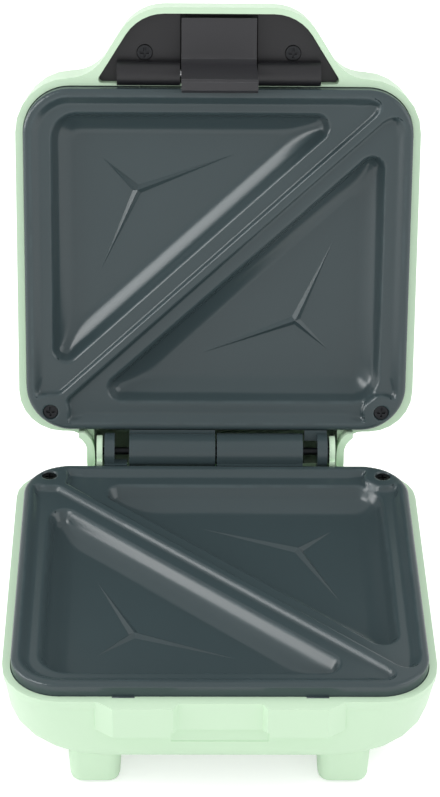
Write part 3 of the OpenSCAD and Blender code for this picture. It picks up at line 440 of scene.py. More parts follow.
def lead_sleeve():
    """Braided glass fibre sleeve on the inner leads."""
    made, tree, shader, place = start_material("lead_sleeve", Roughness=0.8)
    tone = group(tree, "drift", Vector=place, Colour=rgba(linear(226, 222, 208)), Scale=300.0,
                 Amount=0.2)["Colour"]
    join(tree, tone, shader.inputs["Base Color"])
    bump(tree, shader, group(tree, "braid", Vector=place)["Height"], 0.00008)
    return made


def clear_lens(name, base):
    """Tinted clear plastic lens."""
    made, tree, shader, place = start_material(name, Transmission_Weight=0.75, IOR=1.49)
    tone = group(tree, "drift", Vector=place, Colour=rgba(base), Scale=90.0, Amount=0.1)["Colour"]
    join(tree, tone, shader.inputs["Base Color"])
    gloss = group(tree, "handling", Vector=place, Roughness=0.14, Spread=0.08)["Roughness"]
    join(tree, gloss, shader.inputs["Roughness"])
    bump(tree, shader, group(tree, "grain", Vector=place, Size=0.0008)["Height"], 0.000006)
    return made


def make_materials(settings):
    """One material for each of the record's material slots."""
    # Paler colours for the edges, here and for the black plastics and rubber below: rubbing and a
    # painted highlight.
    pale = [min(1, 1.08 * c + 0.03) for c in settings.casing]
    return {
        "casing_green": moulded_plastic(
            "casing_green", settings.casing, settings.casing_roughness, pale, 0.5
        ),
        "plate_coating": plate_coating(settings),
        "black_plastic": moulded_plastic(
            "black_plastic", settings.cover, 0.42, linear(92, 92, 95), 0.35, 0.0005, 0.000018, 0.12
        ),
        "latch_plastic": moulded_plastic(
            "latch_plastic", settings.latch, 0.36, linear(110, 110, 113), 0.4, 0.0005, 0.00001, 0.12
        ),
        "black_screw": bare_metal("black_screw", settings.screw, 0.38),
        "foot_rubber": moulded_plastic(
            "foot_rubber", linear(178, 184, 178), 0.85, linear(198, 202, 198), 0.3, 0.0009, 0.00004
        ),
        "element_sheath": bare_metal(
            "element_sheath", linear(120, 112, 104), 0.45, linear(82, 62, 50), 0.8, 900.0
        ),
        "bright_steel": bare_metal("bright_steel", linear(198, 199, 201), 0.28),
        "dark_steel": bare_metal("dark_steel", linear(40, 42, 44), 0.4),
        "reflector_sheet": bare_metal("reflector_sheet", linear(214, 215, 217), 0.22, heat=0.15),
        "ceramic": ceramic(),
        "brass_screw": bare_metal("brass_screw", linear(203, 172, 96), 0.3),
        "lead_sleeve": lead_sleeve(),
        "lamp_glass": clear_lens("lamp_glass", linear(245, 214, 180)),
        "red_lens": clear_lens("red_lens", linear(205, 40, 32)),
        "green_lens": clear_lens("green_lens", linear(60, 180, 70)),
    }


MATERIALS = {}


def finish_for(slot):
    if not MATERIALS:
        MATERIALS.update(make_materials(bpy.context.scene.toaster_colours))
    return MATERIALS[slot]


# Meshes


def merged_copy(node):
    """A CAD node's mesh as a bmesh with its seams merged and its flat faces whole."""
    bm = bmesh.new()
    bm.from_mesh(NODES[node].data)
    bmesh.ops.remove_doubles(bm, verts=bm.verts, dist=MERGE)
    bmesh.ops.dissolve_limit(
        bm, angle_limit=math.radians(0.5), use_dissolve_boundaries=False,
        verts=bm.verts, edges=bm.edges, delimit=set(),
    )
    return bm


def sharp_edges(bm, angle=28.0):
    limit = math.radians(angle)
    return [e for e in bm.edges if e.is_manifold and e.calc_face_angle() > limit]


def round_edges(bm, edges, radius, segments=2):
    """Rounds edges, and marks the new faces for the paler edge colour of rubbing and painted
    highlight.
    """
    mark = bm.faces.layers.float.get("edge") or bm.faces.layers.float.new("edge")
    edges = [e for e in edges if e.is_valid]
    made = bmesh.ops.bevel(
        bm, geom=edges, offset=radius, offset_type="OFFSET", affect="EDGES", segments=segments,
        profile=0.5, material=-1, clamp_overlap=True, loop_slide=True,
    )
    for face in made["faces"]:
        face[mark] = 1.0


def finish_piece(name, bm, body, slot, nodes=(), material=None, smooth=32.0):
    """Makes a bmesh a piece with its material, riding on its body, standing for its nodes."""
    mesh = bpy.data.meshes.new(name)
    bm.to_mesh(mesh)
    bm.free()
    piece = bpy.data.objects.new(name, mesh)
    bpy.context.scene.collection.objects.link(piece)
    if smooth:
        mesh.shade_smooth()
        mesh.set_sharp_from_angle(angle=math.radians(smooth))
        weighted = piece.modifiers.new("Weighted normals", "WEIGHTED_NORMAL")
        weighted.keep_sharp = True
        weighted.mode = "FACE_AREA_WITH_ANGLE"
    else:
        mesh.polygons.foreach_set("use_smooth", [True] * len(mesh.polygons))
    mesh.materials.append(finish_for(material or slot))
    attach(piece, body)
    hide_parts(*nodes)
    return piece


def rounded_node(node, name, slot, radius, segments=2, angle=28.0, material=None, smooth=32.0):
    """A CAD node with its edges rounded, standing for that node."""
    bm = merged_copy(node)
    round_edges(bm, sharp_edges(bm, angle), radius, segments)
    body = NODES[node]["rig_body"]
    return finish_piece(name, bm, body, slot, [node], material, smooth)


def shut_place(point, on_lid):
    """A point as it is with the toaster shut, from the hinge axis."""
    if not on_lid:
        return point - HINGE_AT
    return Matrix.Rotation(OPEN_ANGLE, 3, "X") @ (point - HINGE_AT)


# Operators


class TOASTER_OT_casings(bpy.types.Operator):
    """Both green casings, with their edges rounded as the mould leaves them."""

    bl_idname = "toaster.casings"
    bl_label = "Casings"

    def execute(self, context):
        radius = context.scene.toaster_edges.casing
        rounded_node("base_casing", "base_shell", "casing_green", radius, 3, 30)
        rounded_node("lid_casing", "lid_shell", "casing_green", radius, 3, 30)
        return {"FINISHED"}


# Cooking plates. Plan in millimetres from the hinge axis with the toaster shut, x across and y
# towards the hinge, and depth below the rim

PLATE_W = 150.0
PLATE_D = 137.5
PLATE_R = 18.0
HINGE_BACK = 8.4  # from the hinge axis to the plate's rear edge
HALF_GAP = 0.8  # half of the gap between the shut plates
PLATE_MID = -HINGE_BACK - PLATE_D / 2
PLATE_FRONT = -HINGE_BACK - PLATE_D
SKIRT = 11.0

# Rim and ridge, with the slopes beside them
RIM = 2.6
RIM_ROUND = 1.3
SEAL = 2.2  # depth of the land below the rim
RIM_RUN = 3.9
RIDGE_RUN = 1.3
RIDGE_HALF = 1.4
RIDGE_ANGLE = math.radians(42.7)
RIDGE_ACROSS = (math.sin(RIDGE_ANGLE), math.cos(RIDGE_ANGLE))

# Pockets: a steep wall, then a cove that runs out to the floor
POCKET_MID = -77.8
POCKET_LEFT = -PLATE_W / 2 + 10.2
POCKET_FRONT = PLATE_FRONT + 9.7 - POCKET_MID
POCKET_GAP = 8.0
POCKET_TIP_R = 5.5
POCKET_CORNER_R = 11.0
POCKET_DEEP = 8.2
WALL_AT = (0.0, 2.3, 2.9, 6.9, 9.9)
WALL_ANGLES = (58, 58, 40, 25, 0)
BLUR_FROM = 1.5
BLUR_RUN = 4

# Screw bosses by the hinge
PLATE_SCREWS = ((-65.6, -15.8), (65.6, -15.8))
BOSS_R = 6.8
BORE_R = 3.05
BORE_DEEP = 2.6
BORE_EDGE = 0.12
SHANK_R = 1.75

# Tab ends at the front of the base plate
RIM_DROP = 5.0
TAB_X = 34.4
TAB_W = 8

# The face's grid, which opens round the bores, and its clearance over the casting's underside
GRID = (288, 286)
WARP_FROM = 1.7
WARP_TO = 6.2
SNAP = 0.45
RIM_LINE = 0.1
UNDER = 1.2

# Star ridges on the pockets' floors, from the pockets' middle
STAR_AT = Vector((-31.2, -26.4, 0))
STAR_ARMS = (Vector((-45, -39.2, 0)), Vector((7.6, -41, 0)), Vector((-46, 7, 0)))
STAR_ROOT = 2.0
STAR_RISE = 1.3
STAR_SUNK = 0.04


def inside_plate(x, y):
    """How far a point is inside the plate's outline."""
    over_x = np.abs(x) - (PLATE_W / 2 - PLATE_R)
    over_y = np.abs(y - PLATE_MID) - (PLATE_D / 2 - PLATE_R)
    corner = np.hypot(np.maximum(over_x, 0), np.maximum(over_y, 0))
    return PLATE_R - corner - np.minimum(np.maximum(over_x, over_y), 0)


def soft_least(a, b, blend):
    share_of = np.maximum(blend - np.abs(a - b), 0) / blend
    return np.minimum(a, b) - share_of * share_of * blend / 4


def soft_step(t):
    t = np.clip(t, 0, 1)
    return t * t * (3 - 2 * t)


def inside_triangle(x, y, radius):
    """How far a point is inside the front left pocket's outline, from the pockets' middle."""
    sides = (
        ((1.0, 0.0), -(POCKET_LEFT + radius)),
        ((0.0, 1.0), -(POCKET_FRONT + radius)),
        ((-RIDGE_ACROSS[0], -RIDGE_ACROSS[1]), -(POCKET_GAP + radius)),
    )
    inner = np.minimum.reduce([n[0] * x + n[1] * y + c for n, c in sides])
    corners = []
    for (a, c), (b, d) in ((sides[0], sides[1]), (sides[1], sides[2]), (sides[2], sides[0])):
        across = a[0] * b[1] - a[1] * b[0]
        corners.append(((a[1] * d - b[1] * c) / across, (b[0] * c - a[0] * d) / across))
    gap = np.full_like(x, 1e9)
    for i in range(3):
        start, end = np.array(corners[i]), np.array(corners[(i + 1) % 3])
        along = end - start
        t = ((x - start[0]) * along[0] + (y - start[1]) * along[1]) / (along @ along)
        t = np.clip(t, 0, 1)
        gap = np.minimum(gap, np.hypot(x - start[0] - t * along[0], y - start[1] - t * along[1]))
    return np.where(inner > 0, gap, -gap) + radius


def inside_pocket(x, y):
    """How far a point is inside either pocket's outline."""
    v = y - POCKET_MID
    best = np.full_like(x, -1e9)
    for turn in (1, -1):
        a, b = turn * x, turn * v
        tip = inside_triangle(a, b, POCKET_TIP_R)
        corner = inside_triangle(a, b, POCKET_CORNER_R)
        near = (a < POCKET_LEFT + 20) & (b < POCKET_FRONT + 20)
        best = np.maximum(best, np.where(near, corner, tip))
    return best


def from_raised(x, y):
    """How far a point is from the rim, ridge and screw bosses, and the slope's run there."""
    rim = inside_plate(x, y) - RIM
    v = y - POCKET_MID
    ridge = np.abs(RIDGE_ACROSS[0] * x + RIDGE_ACROSS[1] * v) - RIDGE_HALF
    bosses = np.minimum.reduce([np.hypot(x - a, y - b) - BOSS_R for a, b in PLATE_SCREWS])
    raised = soft_least(soft_least(rim, ridge, 8.0), bosses, 3.0)
    steep = np.minimum(ridge, bosses)
    run = RIDGE_RUN + (RIM_RUN - RIDGE_RUN) * soft_step((steep - rim) / 6 + 0.2)
    return raised, run


def blurred_pocket(x, y, spread=1.8, cell=0.5):
    """The distance inside a pocket, blurred, so that the walls meet softly near the floor."""
    across = np.arange(-PLATE_W / 2, PLATE_W / 2 + cell, cell)
    along = np.arange(PLATE_MID - PLATE_D / 2, PLATE_MID + PLATE_D / 2 + cell, cell)
    field = inside_pocket(*np.meshgrid(across, along, indexing="ij"))
    reach = np.arange(-int(3 * spread / cell), int(3 * spread / cell) + 1) * cell
    weights = np.exp(-((reach / spread) ** 2) / 2)
    weights /= weights.sum()
    for axis in (0, 1):
        field = np.apply_along_axis(lambda line: np.convolve(line, weights, "same"), axis, field)
    i, j = (x - across[0]) / cell, (y - along[0]) / cell
    i0 = np.clip(i.astype(int), 0, len(across) - 2)
    j0 = np.clip(j.astype(int), 0, len(along) - 2)
    a, b = i - i0, j - j0
    low = field[i0, j0] * (1 - a) + field[i0 + 1, j0] * a
    high = field[i0, j0 + 1] * (1 - a) + field[i0 + 1, j0 + 1] * a
    return low * (1 - b) + high * b


def plate_depth(x, y):
    """Depth of the plate's face below its rim."""
    raised, run = from_raised(x, y)
    over = np.clip(RIM_ROUND - inside_plate(x, y), 0, RIM_ROUND)
    land = SEAL * soft_step(raised / run) + RIM_ROUND - np.sqrt(RIM_ROUND**2 - over**2)
    inside = inside_pocket(x, y)
    soft = soft_step((inside - BLUR_FROM) / BLUR_RUN)
    inside = inside * (1 - soft) + blurred_pocket(x, y) * soft
    slopes = np.tan(np.radians(WALL_ANGLES))
    along = np.linspace(0, WALL_AT[-1], 401)
    fall = np.cumsum(np.interp(along, WALL_AT, slopes))
    fall = np.interp(inside, along, (fall - fall[0]) / (fall[-1] - fall[0])) * POCKET_DEEP
    pocket = SEAL + np.where(inside < 0, inside * slopes[0], fall)
    return -soft_least(-land, -pocket, 1.2)


def snap_to(x, y, distance, reach):
    """Moves points that are nearly on a contour onto it."""
    step = 0.01
    d = distance(x, y)
    slope_x = (distance(x + step, y) - d) / step
    slope_y = (distance(x, y + step) - d) / step
    near = np.abs(d) < reach
    size = np.maximum(slope_x**2 + slope_y**2, 0.25)
    return x - np.where(near, d * slope_x / size, 0), y - np.where(near, d * slope_y / size, 0)


def sheet_of_face():
    """The plate's face as a fine grid with its outline, screw bores and skirt."""
    bm = bmesh.new()
    bmesh.ops.create_grid(bm, x_segments=GRID[0], y_segments=GRID[1], size=0.5)
    bm.verts.ensure_lookup_table()
    places = np.array([v.co for v in bm.verts])
    x = places[:, 0] * PLATE_W
    y = places[:, 1] * PLATE_D + PLATE_MID
    cell = PLATE_W / GRID[0]
    keep = np.ones(len(x), bool)
    for a, b in PLATE_SCREWS:
        away = np.hypot(x - a, y - b)
        keep &= away > WARP_FROM
        warped = BORE_R + (away - WARP_FROM) * (WARP_TO - BORE_R) / (WARP_TO - WARP_FROM)
        scale = np.where(away < WARP_TO, warped / np.maximum(away, 0.01), 1)
        x, y = a + (x - a) * scale, b + (y - b) * scale
    x, y = snap_to(x, y, inside_pocket, SNAP * cell)
    x, y = snap_to(x, y, lambda a, b: from_raised(a, b)[0], SNAP * cell)
    keep &= inside_plate(x, y) > RIM_LINE
    for v, a, b in zip(bm.verts, x, y):
        v.co = (a, b, 0)
    bmesh.ops.delete(bm, geom=[v for v, k in zip(bm.verts, keep) if not k], context="VERTS")
    bmesh.ops.triangulate(bm, faces=bm.faces, quad_method="FIXED")

    loops = open_loops(bm)
    if len(loops) != 3:
        raise RuntimeError(f"plate face has {len(loops)} open loops, not 3")
    rim = loops[0]
    put_on_outline(rim, RIM_LINE, 0)
    for inset, depth in ((0.02, 1.05), (0, RIM_ROUND), (0, SKIRT)):
        rim = grow_edges(bm, rim)
        put_on_outline(rim, inset, depth)
    for ring in loops[1:]:
        middle = min(PLATE_SCREWS, key=lambda at: math.dist(at, next(iter(ring)).verts[0].co.xy))
        put_on_bore(ring, middle, BORE_R + BORE_EDGE, 0)
        for radius, depth in ((BORE_R, BORE_EDGE), (BORE_R, BORE_DEEP), (SHANK_R, BORE_DEEP)):
            ring = grow_edges(bm, ring)
            put_on_bore(ring, middle, radius, depth)

    inner = [v for v in bm.verts if v.co.z == 0]
    places = np.array([v.co for v in inner])
    depths = plate_depth(places[:, 0], places[:, 1])
    for v, depth in zip(inner, depths):
        v.co.z = -depth
    # Faces along the rims, ridge and pocket edges take the paler edge colour: rubbing and a painted
    # highlight.
    mark = bm.faces.layers.float.new("edge")
    centres = np.array([f.calc_center_median() for f in bm.faces])
    raised, run = from_raised(centres[:, 0], centres[:, 1])
    pocket = inside_pocket(centres[:, 0], centres[:, 1])
    rubbed_and_lit = (np.abs(raised - 0.1) < 0.45) | (np.abs(pocket - 0.1) < 0.4)
    for face, is_rubbed_and_lit in zip(bm.faces, rubbed_and_lit):
        face[mark] = float(is_rubbed_and_lit)
    return bm


def open_loops(bm):
    """The open edges of a mesh as loops, longest first."""
    left = {e for e in bm.edges if e.is_boundary}
    loops = []
    while left:
        loop, waiting = set(), [left.pop()]
        while waiting:
            edge = waiting.pop()
            loop.add(edge)
            near = {e for v in edge.verts for e in v.link_edges} & left
            left -= near
            waiting += near
        loops.append(loop)
    return sorted(loops, key=len, reverse=True)


def grow_edges(bm, edges):
    made = bmesh.ops.extrude_edge_only(bm, edges=list(edges))
    return {g for g in made["geom"] if isinstance(g, bmesh.types.BMEdge) and g.is_boundary}


def ring_verts(edges):
    return {v for e in edges for v in e.verts}


def put_on_outline(edges, inset, depth):
    """Moves an edge loop to the plate's outline, moved in, at a depth."""
    for v in ring_verts(edges):
        x, y = v.co.xy
        a, b = snap_to(np.array([x]), np.array([y]), lambda p, q: inside_plate(p, q) - inset, 9)
        v.co = (float(a[0]), float(b[0]), -depth)


def put_on_bore(edges, middle, radius, depth):
    for v in ring_verts(edges):
        way = Vector((v.co.x - middle[0], v.co.y - middle[1])).normalized() * radius
        v.co = (middle[0] + way.x, middle[1] + way.y, -depth)


def star(bm, turned):
    """A three armed ridge whose crest falls from the middle to each arm's end."""
    ways = [(arm - STAR_AT).normalized() for arm in STAR_ARMS]
    rim = []
    for i, arm in enumerate(STAR_ARMS):
        between = (ways[i] + ways[(i + 1) % 3]).normalized()
        rim += [arm, STAR_AT + between * STAR_ROOT]
    floor = Vector((0, 0, -SEAL - POCKET_DEEP))
    turn = Matrix.Rotation(math.pi, 3, "Z") if turned else Matrix.Identity(3)
    middle = Vector((0, POCKET_MID, 0))
    top = bm.verts.new(turn @ STAR_AT + middle + floor + Vector((0, 0, STAR_RISE)))
    sunk = middle + floor - Vector((0, 0, STAR_SUNK))
    low = [bm.verts.new(turn @ p + sunk) for p in rim]
    for i in range(6):
        bm.faces.new((top, low[i], low[(i + 1) % 6]))
    for e in top.link_edges:
        e.smooth = False


def front_tab(bm, x):
    """The end of a front tab where it shows in the casing's rim."""
    low, high = -RIM_DROP - 0.3, -RIM_DROP + 0.12
    front, rear = PLATE_FRONT - 1.1, PLATE_FRONT + 0.4
    place = Matrix.Translation((x, (front + rear) / 2, (low + high) / 2))
    size = Matrix.Diagonal((TAB_W, rear - front, high - low, 1))
    bmesh.ops.create_cube(bm, size=1, matrix=place @ size)


def rest_of_plate(node, on_lid):
    """The CAD plate without its face and outer skirt: underside, posts, hinge leaves and tabs."""
    bm = bmesh.new()
    bm.from_mesh(NODES[node].data)
    bmesh.ops.remove_doubles(bm, verts=bm.verts, dist=MERGE)
    for v in bm.verts:
        v.co = shut_place(v.co, on_lid) / MM
    if on_lid:
        for v in bm.verts:
            v.co.z = -v.co.z
        bmesh.ops.reverse_faces(bm, faces=bm.faces)
    for v in bm.verts:
        v.co.z += HALF_GAP
    bm.normal_update()
    gone = []
    for face in bm.faces:
        middle = face.calc_center_median()
        up, depth = face.normal.z, -middle.z
        inset = float(inside_plate(middle.x, middle.y))
        top = up > 0.05 and depth < 12.2 and inset > 0
        ridge = abs(up) <= 0.05 and depth < BORE_DEEP + 0.1 and inset > 1
        skirt = abs(inset) < 0.05 and abs(up) < 0.3 and depth < SKIRT
        if inset > -0.05 and (top or ridge or skirt):
            gone.append(face)
    bmesh.ops.delete(bm, geom=gone, context="FACES")
    places = np.array([v.co for v in bm.verts])
    covers = plate_depth(places[:, 0], places[:, 1])
    for v, cover in zip(bm.verts, covers):
        if inside_plate(v.co.x, v.co.y) > 3 and SEAL + 1 < -v.co.z < cover + UNDER:
            v.co.z = -cover - UNDER
    for e in bm.edges:
        e.smooth = not e.is_manifold or e.calc_face_angle() < math.radians(32)
    return bm


class TOASTER_OT_plates(bpy.types.Operator):
    """Both coated cooking plates, with soft pocket walls, rounded rims and stars."""

    bl_idname = "toaster.plates"
    bl_label = "Cooking plates"

    def execute(self, context):
        face = sheet_of_face()
        for turned in (False, True):
            star(face, turned)
        face.normal_update()
        sheet = bpy.data.meshes.new("plate face")
        face.to_mesh(sheet)
        face.free()
        for on_lid in (False, True):
            node = "lid_plate" if on_lid else "base_plate"
            name = "lid_cooking_plate" if on_lid else "base_cooking_plate"
            bm = rest_of_plate(node, on_lid)
            bm.from_mesh(sheet)
            if not on_lid:
                for side in (-1, 1):
                    front_tab(bm, side * TAB_X)
            for v in bm.verts:
                v.co.z -= HALF_GAP
            if on_lid:
                for v in bm.verts:
                    v.co.z = -v.co.z
                bmesh.ops.reverse_faces(bm, faces=bm.faces)
            back = Matrix.Rotation(-OPEN_ANGLE if on_lid else 0, 3, "X")
            for v in bm.verts:
                v.co = HINGE_AT + back @ (v.co * MM)
            finish_piece(name, bm, NODES[node]["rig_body"], "plate_coating", [node], smooth=None)
        bpy.data.meshes.remove(sheet)
        return {"FINISHED"}


BOSS_END_R = 2.6 * MM


def tube_arcs(bm):
    """Edges round the two ends of the cover's half round boss."""
    found = []
    for e in sharp_edges(bm, 60):
        flat = [f for f in e.link_faces if abs(f.normal.x) > 0.99]
        curved = [f for f in e.link_faces if abs(f.normal.x) < 0.02]
        level = abs(e.verts[0].co.x - e.verts[1].co.x) < MM / 100
        if len(flat) == 1 and len(curved) == 1 and level and e.calc_length() < 2.2 * MM:
            found.append(e)
    return found


class TOASTER_OT_handle(bpy.types.Operator):
    """The black cover under the handle."""

    bl_idname = "toaster.handle"
    bl_label = "Handle cover"

    def execute(self, context):
        radius = context.scene.toaster_edges.cover
        bm = merged_copy("handle_cover")
        arcs = tube_arcs(bm)
        ends = max(abs(v.co.x) for e in arcs for v in e.verts)
        arcs = [e for e in arcs if abs(e.verts[0].co.x) > ends - 0.5 * MM]
        round_edges(bm, arcs, BOSS_END_R, 5)
        round_edges(bm, sharp_edges(bm), radius)
        finish_piece("handle_lining", bm, "lid", "black_plastic", ["handle_cover"])
        return {"FINISHED"}


class TOASTER_OT_latch(bpy.types.Operator):
    """The sprung latch."""

    bl_idname = "toaster.latch"
    bl_label = "Latch"

    def execute(self, context):
        radius = context.scene.toaster_edges.cover
        rounded_node("latch", "front_latch", "black_plastic", radius, material="latch_plastic")
        return {"FINISHED"}


class TOASTER_OT_screws(bpy.types.Operator):
    """The visible screws in the plates and the handle cover."""

    bl_idname = "toaster.screws"
    bl_label = "Visible screws"

    def execute(self, context):
        radius = context.scene.toaster_edges.screw
        for node in ("base_plate_screws", "lid_plate_screws", "handle_screws"):
            rounded_node(node, node.replace("screws", "fixings"), "black_screw", radius, 2, 35)
        return {"FINISHED"}


class TOASTER_OT_small_parts(bpy.types.Operator):
    """Feet, hinge pin, cord bush and lamp lenses."""

    bl_idname = "toaster.small_parts"
    bl_label = "Feet, pin, bush and lenses"

    def execute(self, context):
        radius = context.scene.toaster_edges.cover
        rounded_node("foot_pads", "rubber_feet", "foot_rubber", radius)
        rounded_node("hinge_pin", "hinge_axle", "bright_steel", radius, 3, material="dark_steel")
        rounded_node("cord_bush", "inlet_bush", "black_plastic", radius)
        rounded_node("power_lens", "red_lamp_lens", "red_lens", radius / 2)
        rounded_node("ready_lens", "green_lamp_lens", "green_lens", radius / 2)
        return {"FINISHED"}


INNER_FINISH = {
    "base_element": "element_sheath", "lid_element": "element_sheath",
    "base_element_clips": "bright_steel", "lid_element_clips": "bright_steel",
    "base_clip_screws": "bright_steel", "lid_clip_screws": "bright_steel",
    "base_reflector": "reflector_sheet", "lid_reflector": "reflector_sheet",
    "thermal_fuse": "ceramic", "fuse_clip": "bright_steel", "fuse_clip_screw": "bright_steel",
    "terminal_block": "ceramic", "terminal_screws": "brass_screw", "block_screws": "bright_steel",
    "base_wiring": "lead_sleeve", "lid_wiring": "lead_sleeve",
    "thermostat": "ceramic", "thermostat_screws": "bright_steel",
    "indicator_lamps": "lamp_glass", "latch_pin": "bright_steel", "latch_spring": "bright_steel",
}


class TOASTER_OT_inner_parts(bpy.types.Operator):
    """Materials for the parts inside the casings."""

    bl_idname = "toaster.inner_parts"
    bl_label = "Inner parts"

    def execute(self, context):
        for node, slot in INNER_FINISH.items():
            slots = NODES[node].data.materials
            slots.clear()
            slots.append(finish_for(slot))
        return {"FINISHED"}


CAMERA_AT = HINGE_AT + Vector((-0.017597, -0.875097, 0.592448))
CAMERA_LOOKS = Vector((0.01816801, 0.83889254, -0.54399378))
CAMERA_ROLL = math.radians(-0.865)
CAMERA_SENSOR = 36.0
PICTURE_HEIGHT = 797
FOCAL_PIXELS = 2652.739
CAMERA_LENS = FOCAL_PIXELS / PICTURE_HEIGHT * CAMERA_SENSOR


def aimed(place, target, roll=0.0):
    """Matrix of a camera or lamp at a place, looking at a target."""
    looks = (target - place).normalized()
    turned = looks.to_track_quat("-Z", "Y").to_matrix()
    turned = Matrix.Rotation(roll, 3, looks) @ turned
    return Matrix.Translation(place) @ turned.to_4x4()


def soft_lamp(name, place, target, size, watts):
    data = bpy.data.lights.new(name, "AREA")
    data.shape = "RECTANGLE"
    data.size, data.size_y = size
    data.energy = watts
    lamp = bpy.data.objects.new(name, data)
    lamp.matrix_world = aimed(Vector(place), Vector(target))
    lamp.visible_glossy = False
    bpy.context.scene.collection.objects.link(lamp)


def seen_directly(tree):
    """1 for rays that show the white room: from the camera, a reflection or through glass."""
    path = add(tree, "ShaderNodeLightPath").outputs
    both = calculate(tree, "MAXIMUM", path["Is Camera Ray"], path["Is Glossy Ray"])
    return calculate(tree, "MAXIMUM", both, path["Is Transmission Ray"])


class TOASTER_OT_camera(bpy.types.Operator):
    """The camera at the photograph's viewing angle."""

    bl_idname = "toaster.camera"
    bl_label = "Camera"

    def execute(self, context):
        data = bpy.data.cameras.new("camera")
        data.sensor_fit = "VERTICAL"
        data.sensor_height = CAMERA_SENSOR
        data.lens = CAMERA_LENS
        camera = bpy.data.objects.new("camera", data)
        camera.matrix_world = aimed(CAMERA_AT, CAMERA_AT + CAMERA_LOOKS, CAMERA_ROLL)
        context.scene.collection.objects.link(camera)
        context.scene.camera = camera
        return {"FINISHED"}


# Side, slopes along Y, slopes upwards, share of the softbox's brightness
SOFTBOXES = (
    (-1, (-1.25, -0.25), (0.45, 1.0), 1.0),
    (-1, (-0.5, 0.25), (-0.12, 0.42), 0.85),
    (1, (-1.2, 0.1), (0.0, 0.7), 0.2),
)


def softbox(tree, way, side, along_range, rise_range, strength):
    """A softbox on one side, as the room's reflections show it, by slopes along Y and up."""
    out = calculate(tree, "MULTIPLY", way["X"], side)
    facing = ramp(tree, out, 0.02, 0.05)
    out = calculate(tree, "MAXIMUM", out, 0.01)
    along = calculate(tree, "DIVIDE", way["Y"], out)
    level = calculate(tree, "SUBTRACT", 1.0, calculate(tree, "POWER", way["Z"], 2.0))
    far = calculate(tree, "SQRT", level)
    rise = calculate(tree, "DIVIDE", way["Z"], calculate(tree, "MAXIMUM", far, 0.01))
    parts = (
        facing,
        ramp(tree, along, along_range[0], along_range[0] + 0.1),
        ramp(tree, along, along_range[1] - 0.1, along_range[1], 1.0, 0.0),
        ramp(tree, rise, rise_range[0], rise_range[0] + 0.08),
        ramp(tree, rise, rise_range[1] - 0.08, rise_range[1], 1.0, 0.0),
    )
    value = strength
    for part in parts:
        value = calculate(tree, "MULTIPLY", part, value)
    return value


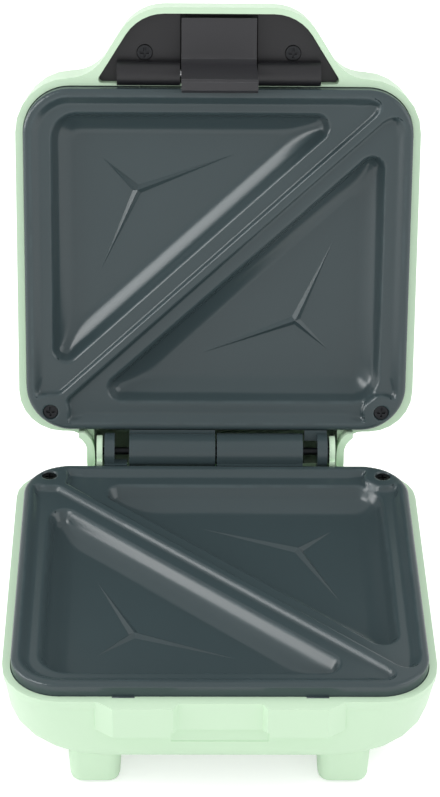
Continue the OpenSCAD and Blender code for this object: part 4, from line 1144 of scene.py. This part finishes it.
class TOASTER_OT_stage(bpy.types.Operator):
    """White floor, white room and soft lamps."""

    bl_idname = "toaster.stage"
    bl_label = "Floor, room and lamps"

    def execute(self, context):
        scene = context.scene
        studio = scene.toaster_studio
        scene.view_settings.view_transform = "Standard"

        bm = bmesh.new()
        bmesh.ops.create_grid(bm, x_segments=2, y_segments=2, size=4.0)
        mesh = bpy.data.meshes.new("floor")
        bm.to_mesh(mesh)
        bm.free()
        floor = bpy.data.objects.new("floor", mesh)
        scene.collection.objects.link(floor)
        white, tree, shader, place = start_material("floor_white", Roughness=0.9)
        shader.inputs["Specular IOR Level"].default_value = 0.0
        tone = group(tree, "drift", Vector=place, Colour=(0.86, 0.86, 0.86, 1), Scale=2.0,
                     Amount=0.02)["Colour"]
        join(tree, tone, shader.inputs["Base Color"])
        shader.inputs["Emission Color"].default_value = (1, 1, 1, 1)
        glow = calculate(tree, "MULTIPLY", seen_directly(tree), studio.floor)
        join(tree, glow, shader.inputs["Emission Strength"])
        mesh.materials.append(white)

        world = bpy.data.worlds.new("white_room")
        scene.world = world
        world.use_nodes = True
        tree = world.node_tree
        way = add(tree, "ShaderNodeTexCoord").outputs["Generated"]
        way = add(tree, "ShaderNodeSeparateXYZ", Vector=way).outputs
        room = ramp(tree, way["Z"], 0.0, 0.85, studio.horizon, studio.ceiling)
        path = add(tree, "ShaderNodeLightPath").outputs
        shown = calculate(tree, "MAXIMUM", path["Is Camera Ray"], path["Is Transmission Ray"])
        boxes = 0.0
        for side, along, rise, part in SOFTBOXES:
            box = softbox(tree, way, side, along, rise, studio.window * part)
            boxes = calculate(tree, "MAXIMUM", boxes, box)
        boxes = calculate(tree, "MULTIPLY", boxes, path["Is Glossy Ray"])
        strength = calculate(tree, "MAXIMUM", calculate(tree, "ADD", room, boxes), shown)
        join(tree, strength, tree.nodes["Background"].inputs["Strength"])
        tree.nodes["Background"].inputs["Color"].default_value = (1, 1, 1, 1)

        middle = (0.0, 0.0, 0.09)
        soft_lamp("left_lamp", (-1.0, -0.08, 0.87), middle, (0.8, 0.42), studio.left)
        soft_lamp("right_lamp", (1.0, 0.1, 1.05), middle, (0.8, 0.5), studio.right)
        soft_lamp("front_lamp", (0.0, -1.9, 0.5), middle, (1.8, 0.8), studio.front)
        return {"FINISHED"}


PIECE_OPERATORS = (
    TOASTER_OT_camera, TOASTER_OT_casings, TOASTER_OT_plates, TOASTER_OT_handle,
    TOASTER_OT_latch, TOASTER_OT_screws, TOASTER_OT_small_parts, TOASTER_OT_inner_parts,
    TOASTER_OT_stage,
)


class TOASTER_PT_panel(bpy.types.Panel):
    """Lists the toaster's settings and steps."""

    bl_idname = "TOASTER_PT_panel"
    bl_label = "Sandwich toaster"
    bl_space_type = "VIEW_3D"
    bl_region_type = "UI"
    bl_category = "Toaster"

    def draw(self, context):
        scene = context.scene
        for settings in (scene.toaster_colours, scene.toaster_edges, scene.toaster_studio):
            box = self.layout.box()
            for name in settings.__annotations__:
                box.prop(settings, name)
        for operator in PIECE_OPERATORS:
            self.layout.operator(operator.bl_idname)


CLASSES = (ToasterColours, ToasterEdges, ToasterStudio, *PIECE_OPERATORS, TOASTER_PT_panel)


def register():
    for item in CLASSES:
        bpy.utils.register_class(item)
    bpy.types.Scene.toaster_colours = bpy.props.PointerProperty(type=ToasterColours)
    bpy.types.Scene.toaster_edges = bpy.props.PointerProperty(type=ToasterEdges)
    bpy.types.Scene.toaster_studio = bpy.props.PointerProperty(type=ToasterStudio)


def unregister():
    del bpy.types.Scene.toaster_studio
    del bpy.types.Scene.toaster_edges
    del bpy.types.Scene.toaster_colours
    for item in reversed(CLASSES):
        bpy.utils.unregister_class(item)


def main():
    register()
    for operator in PIECE_OPERATORS:
        group_name, step = operator.bl_idname.split(".")
        getattr(getattr(bpy.ops, group_name), step)()


if __name__ == "__main__":
    main()
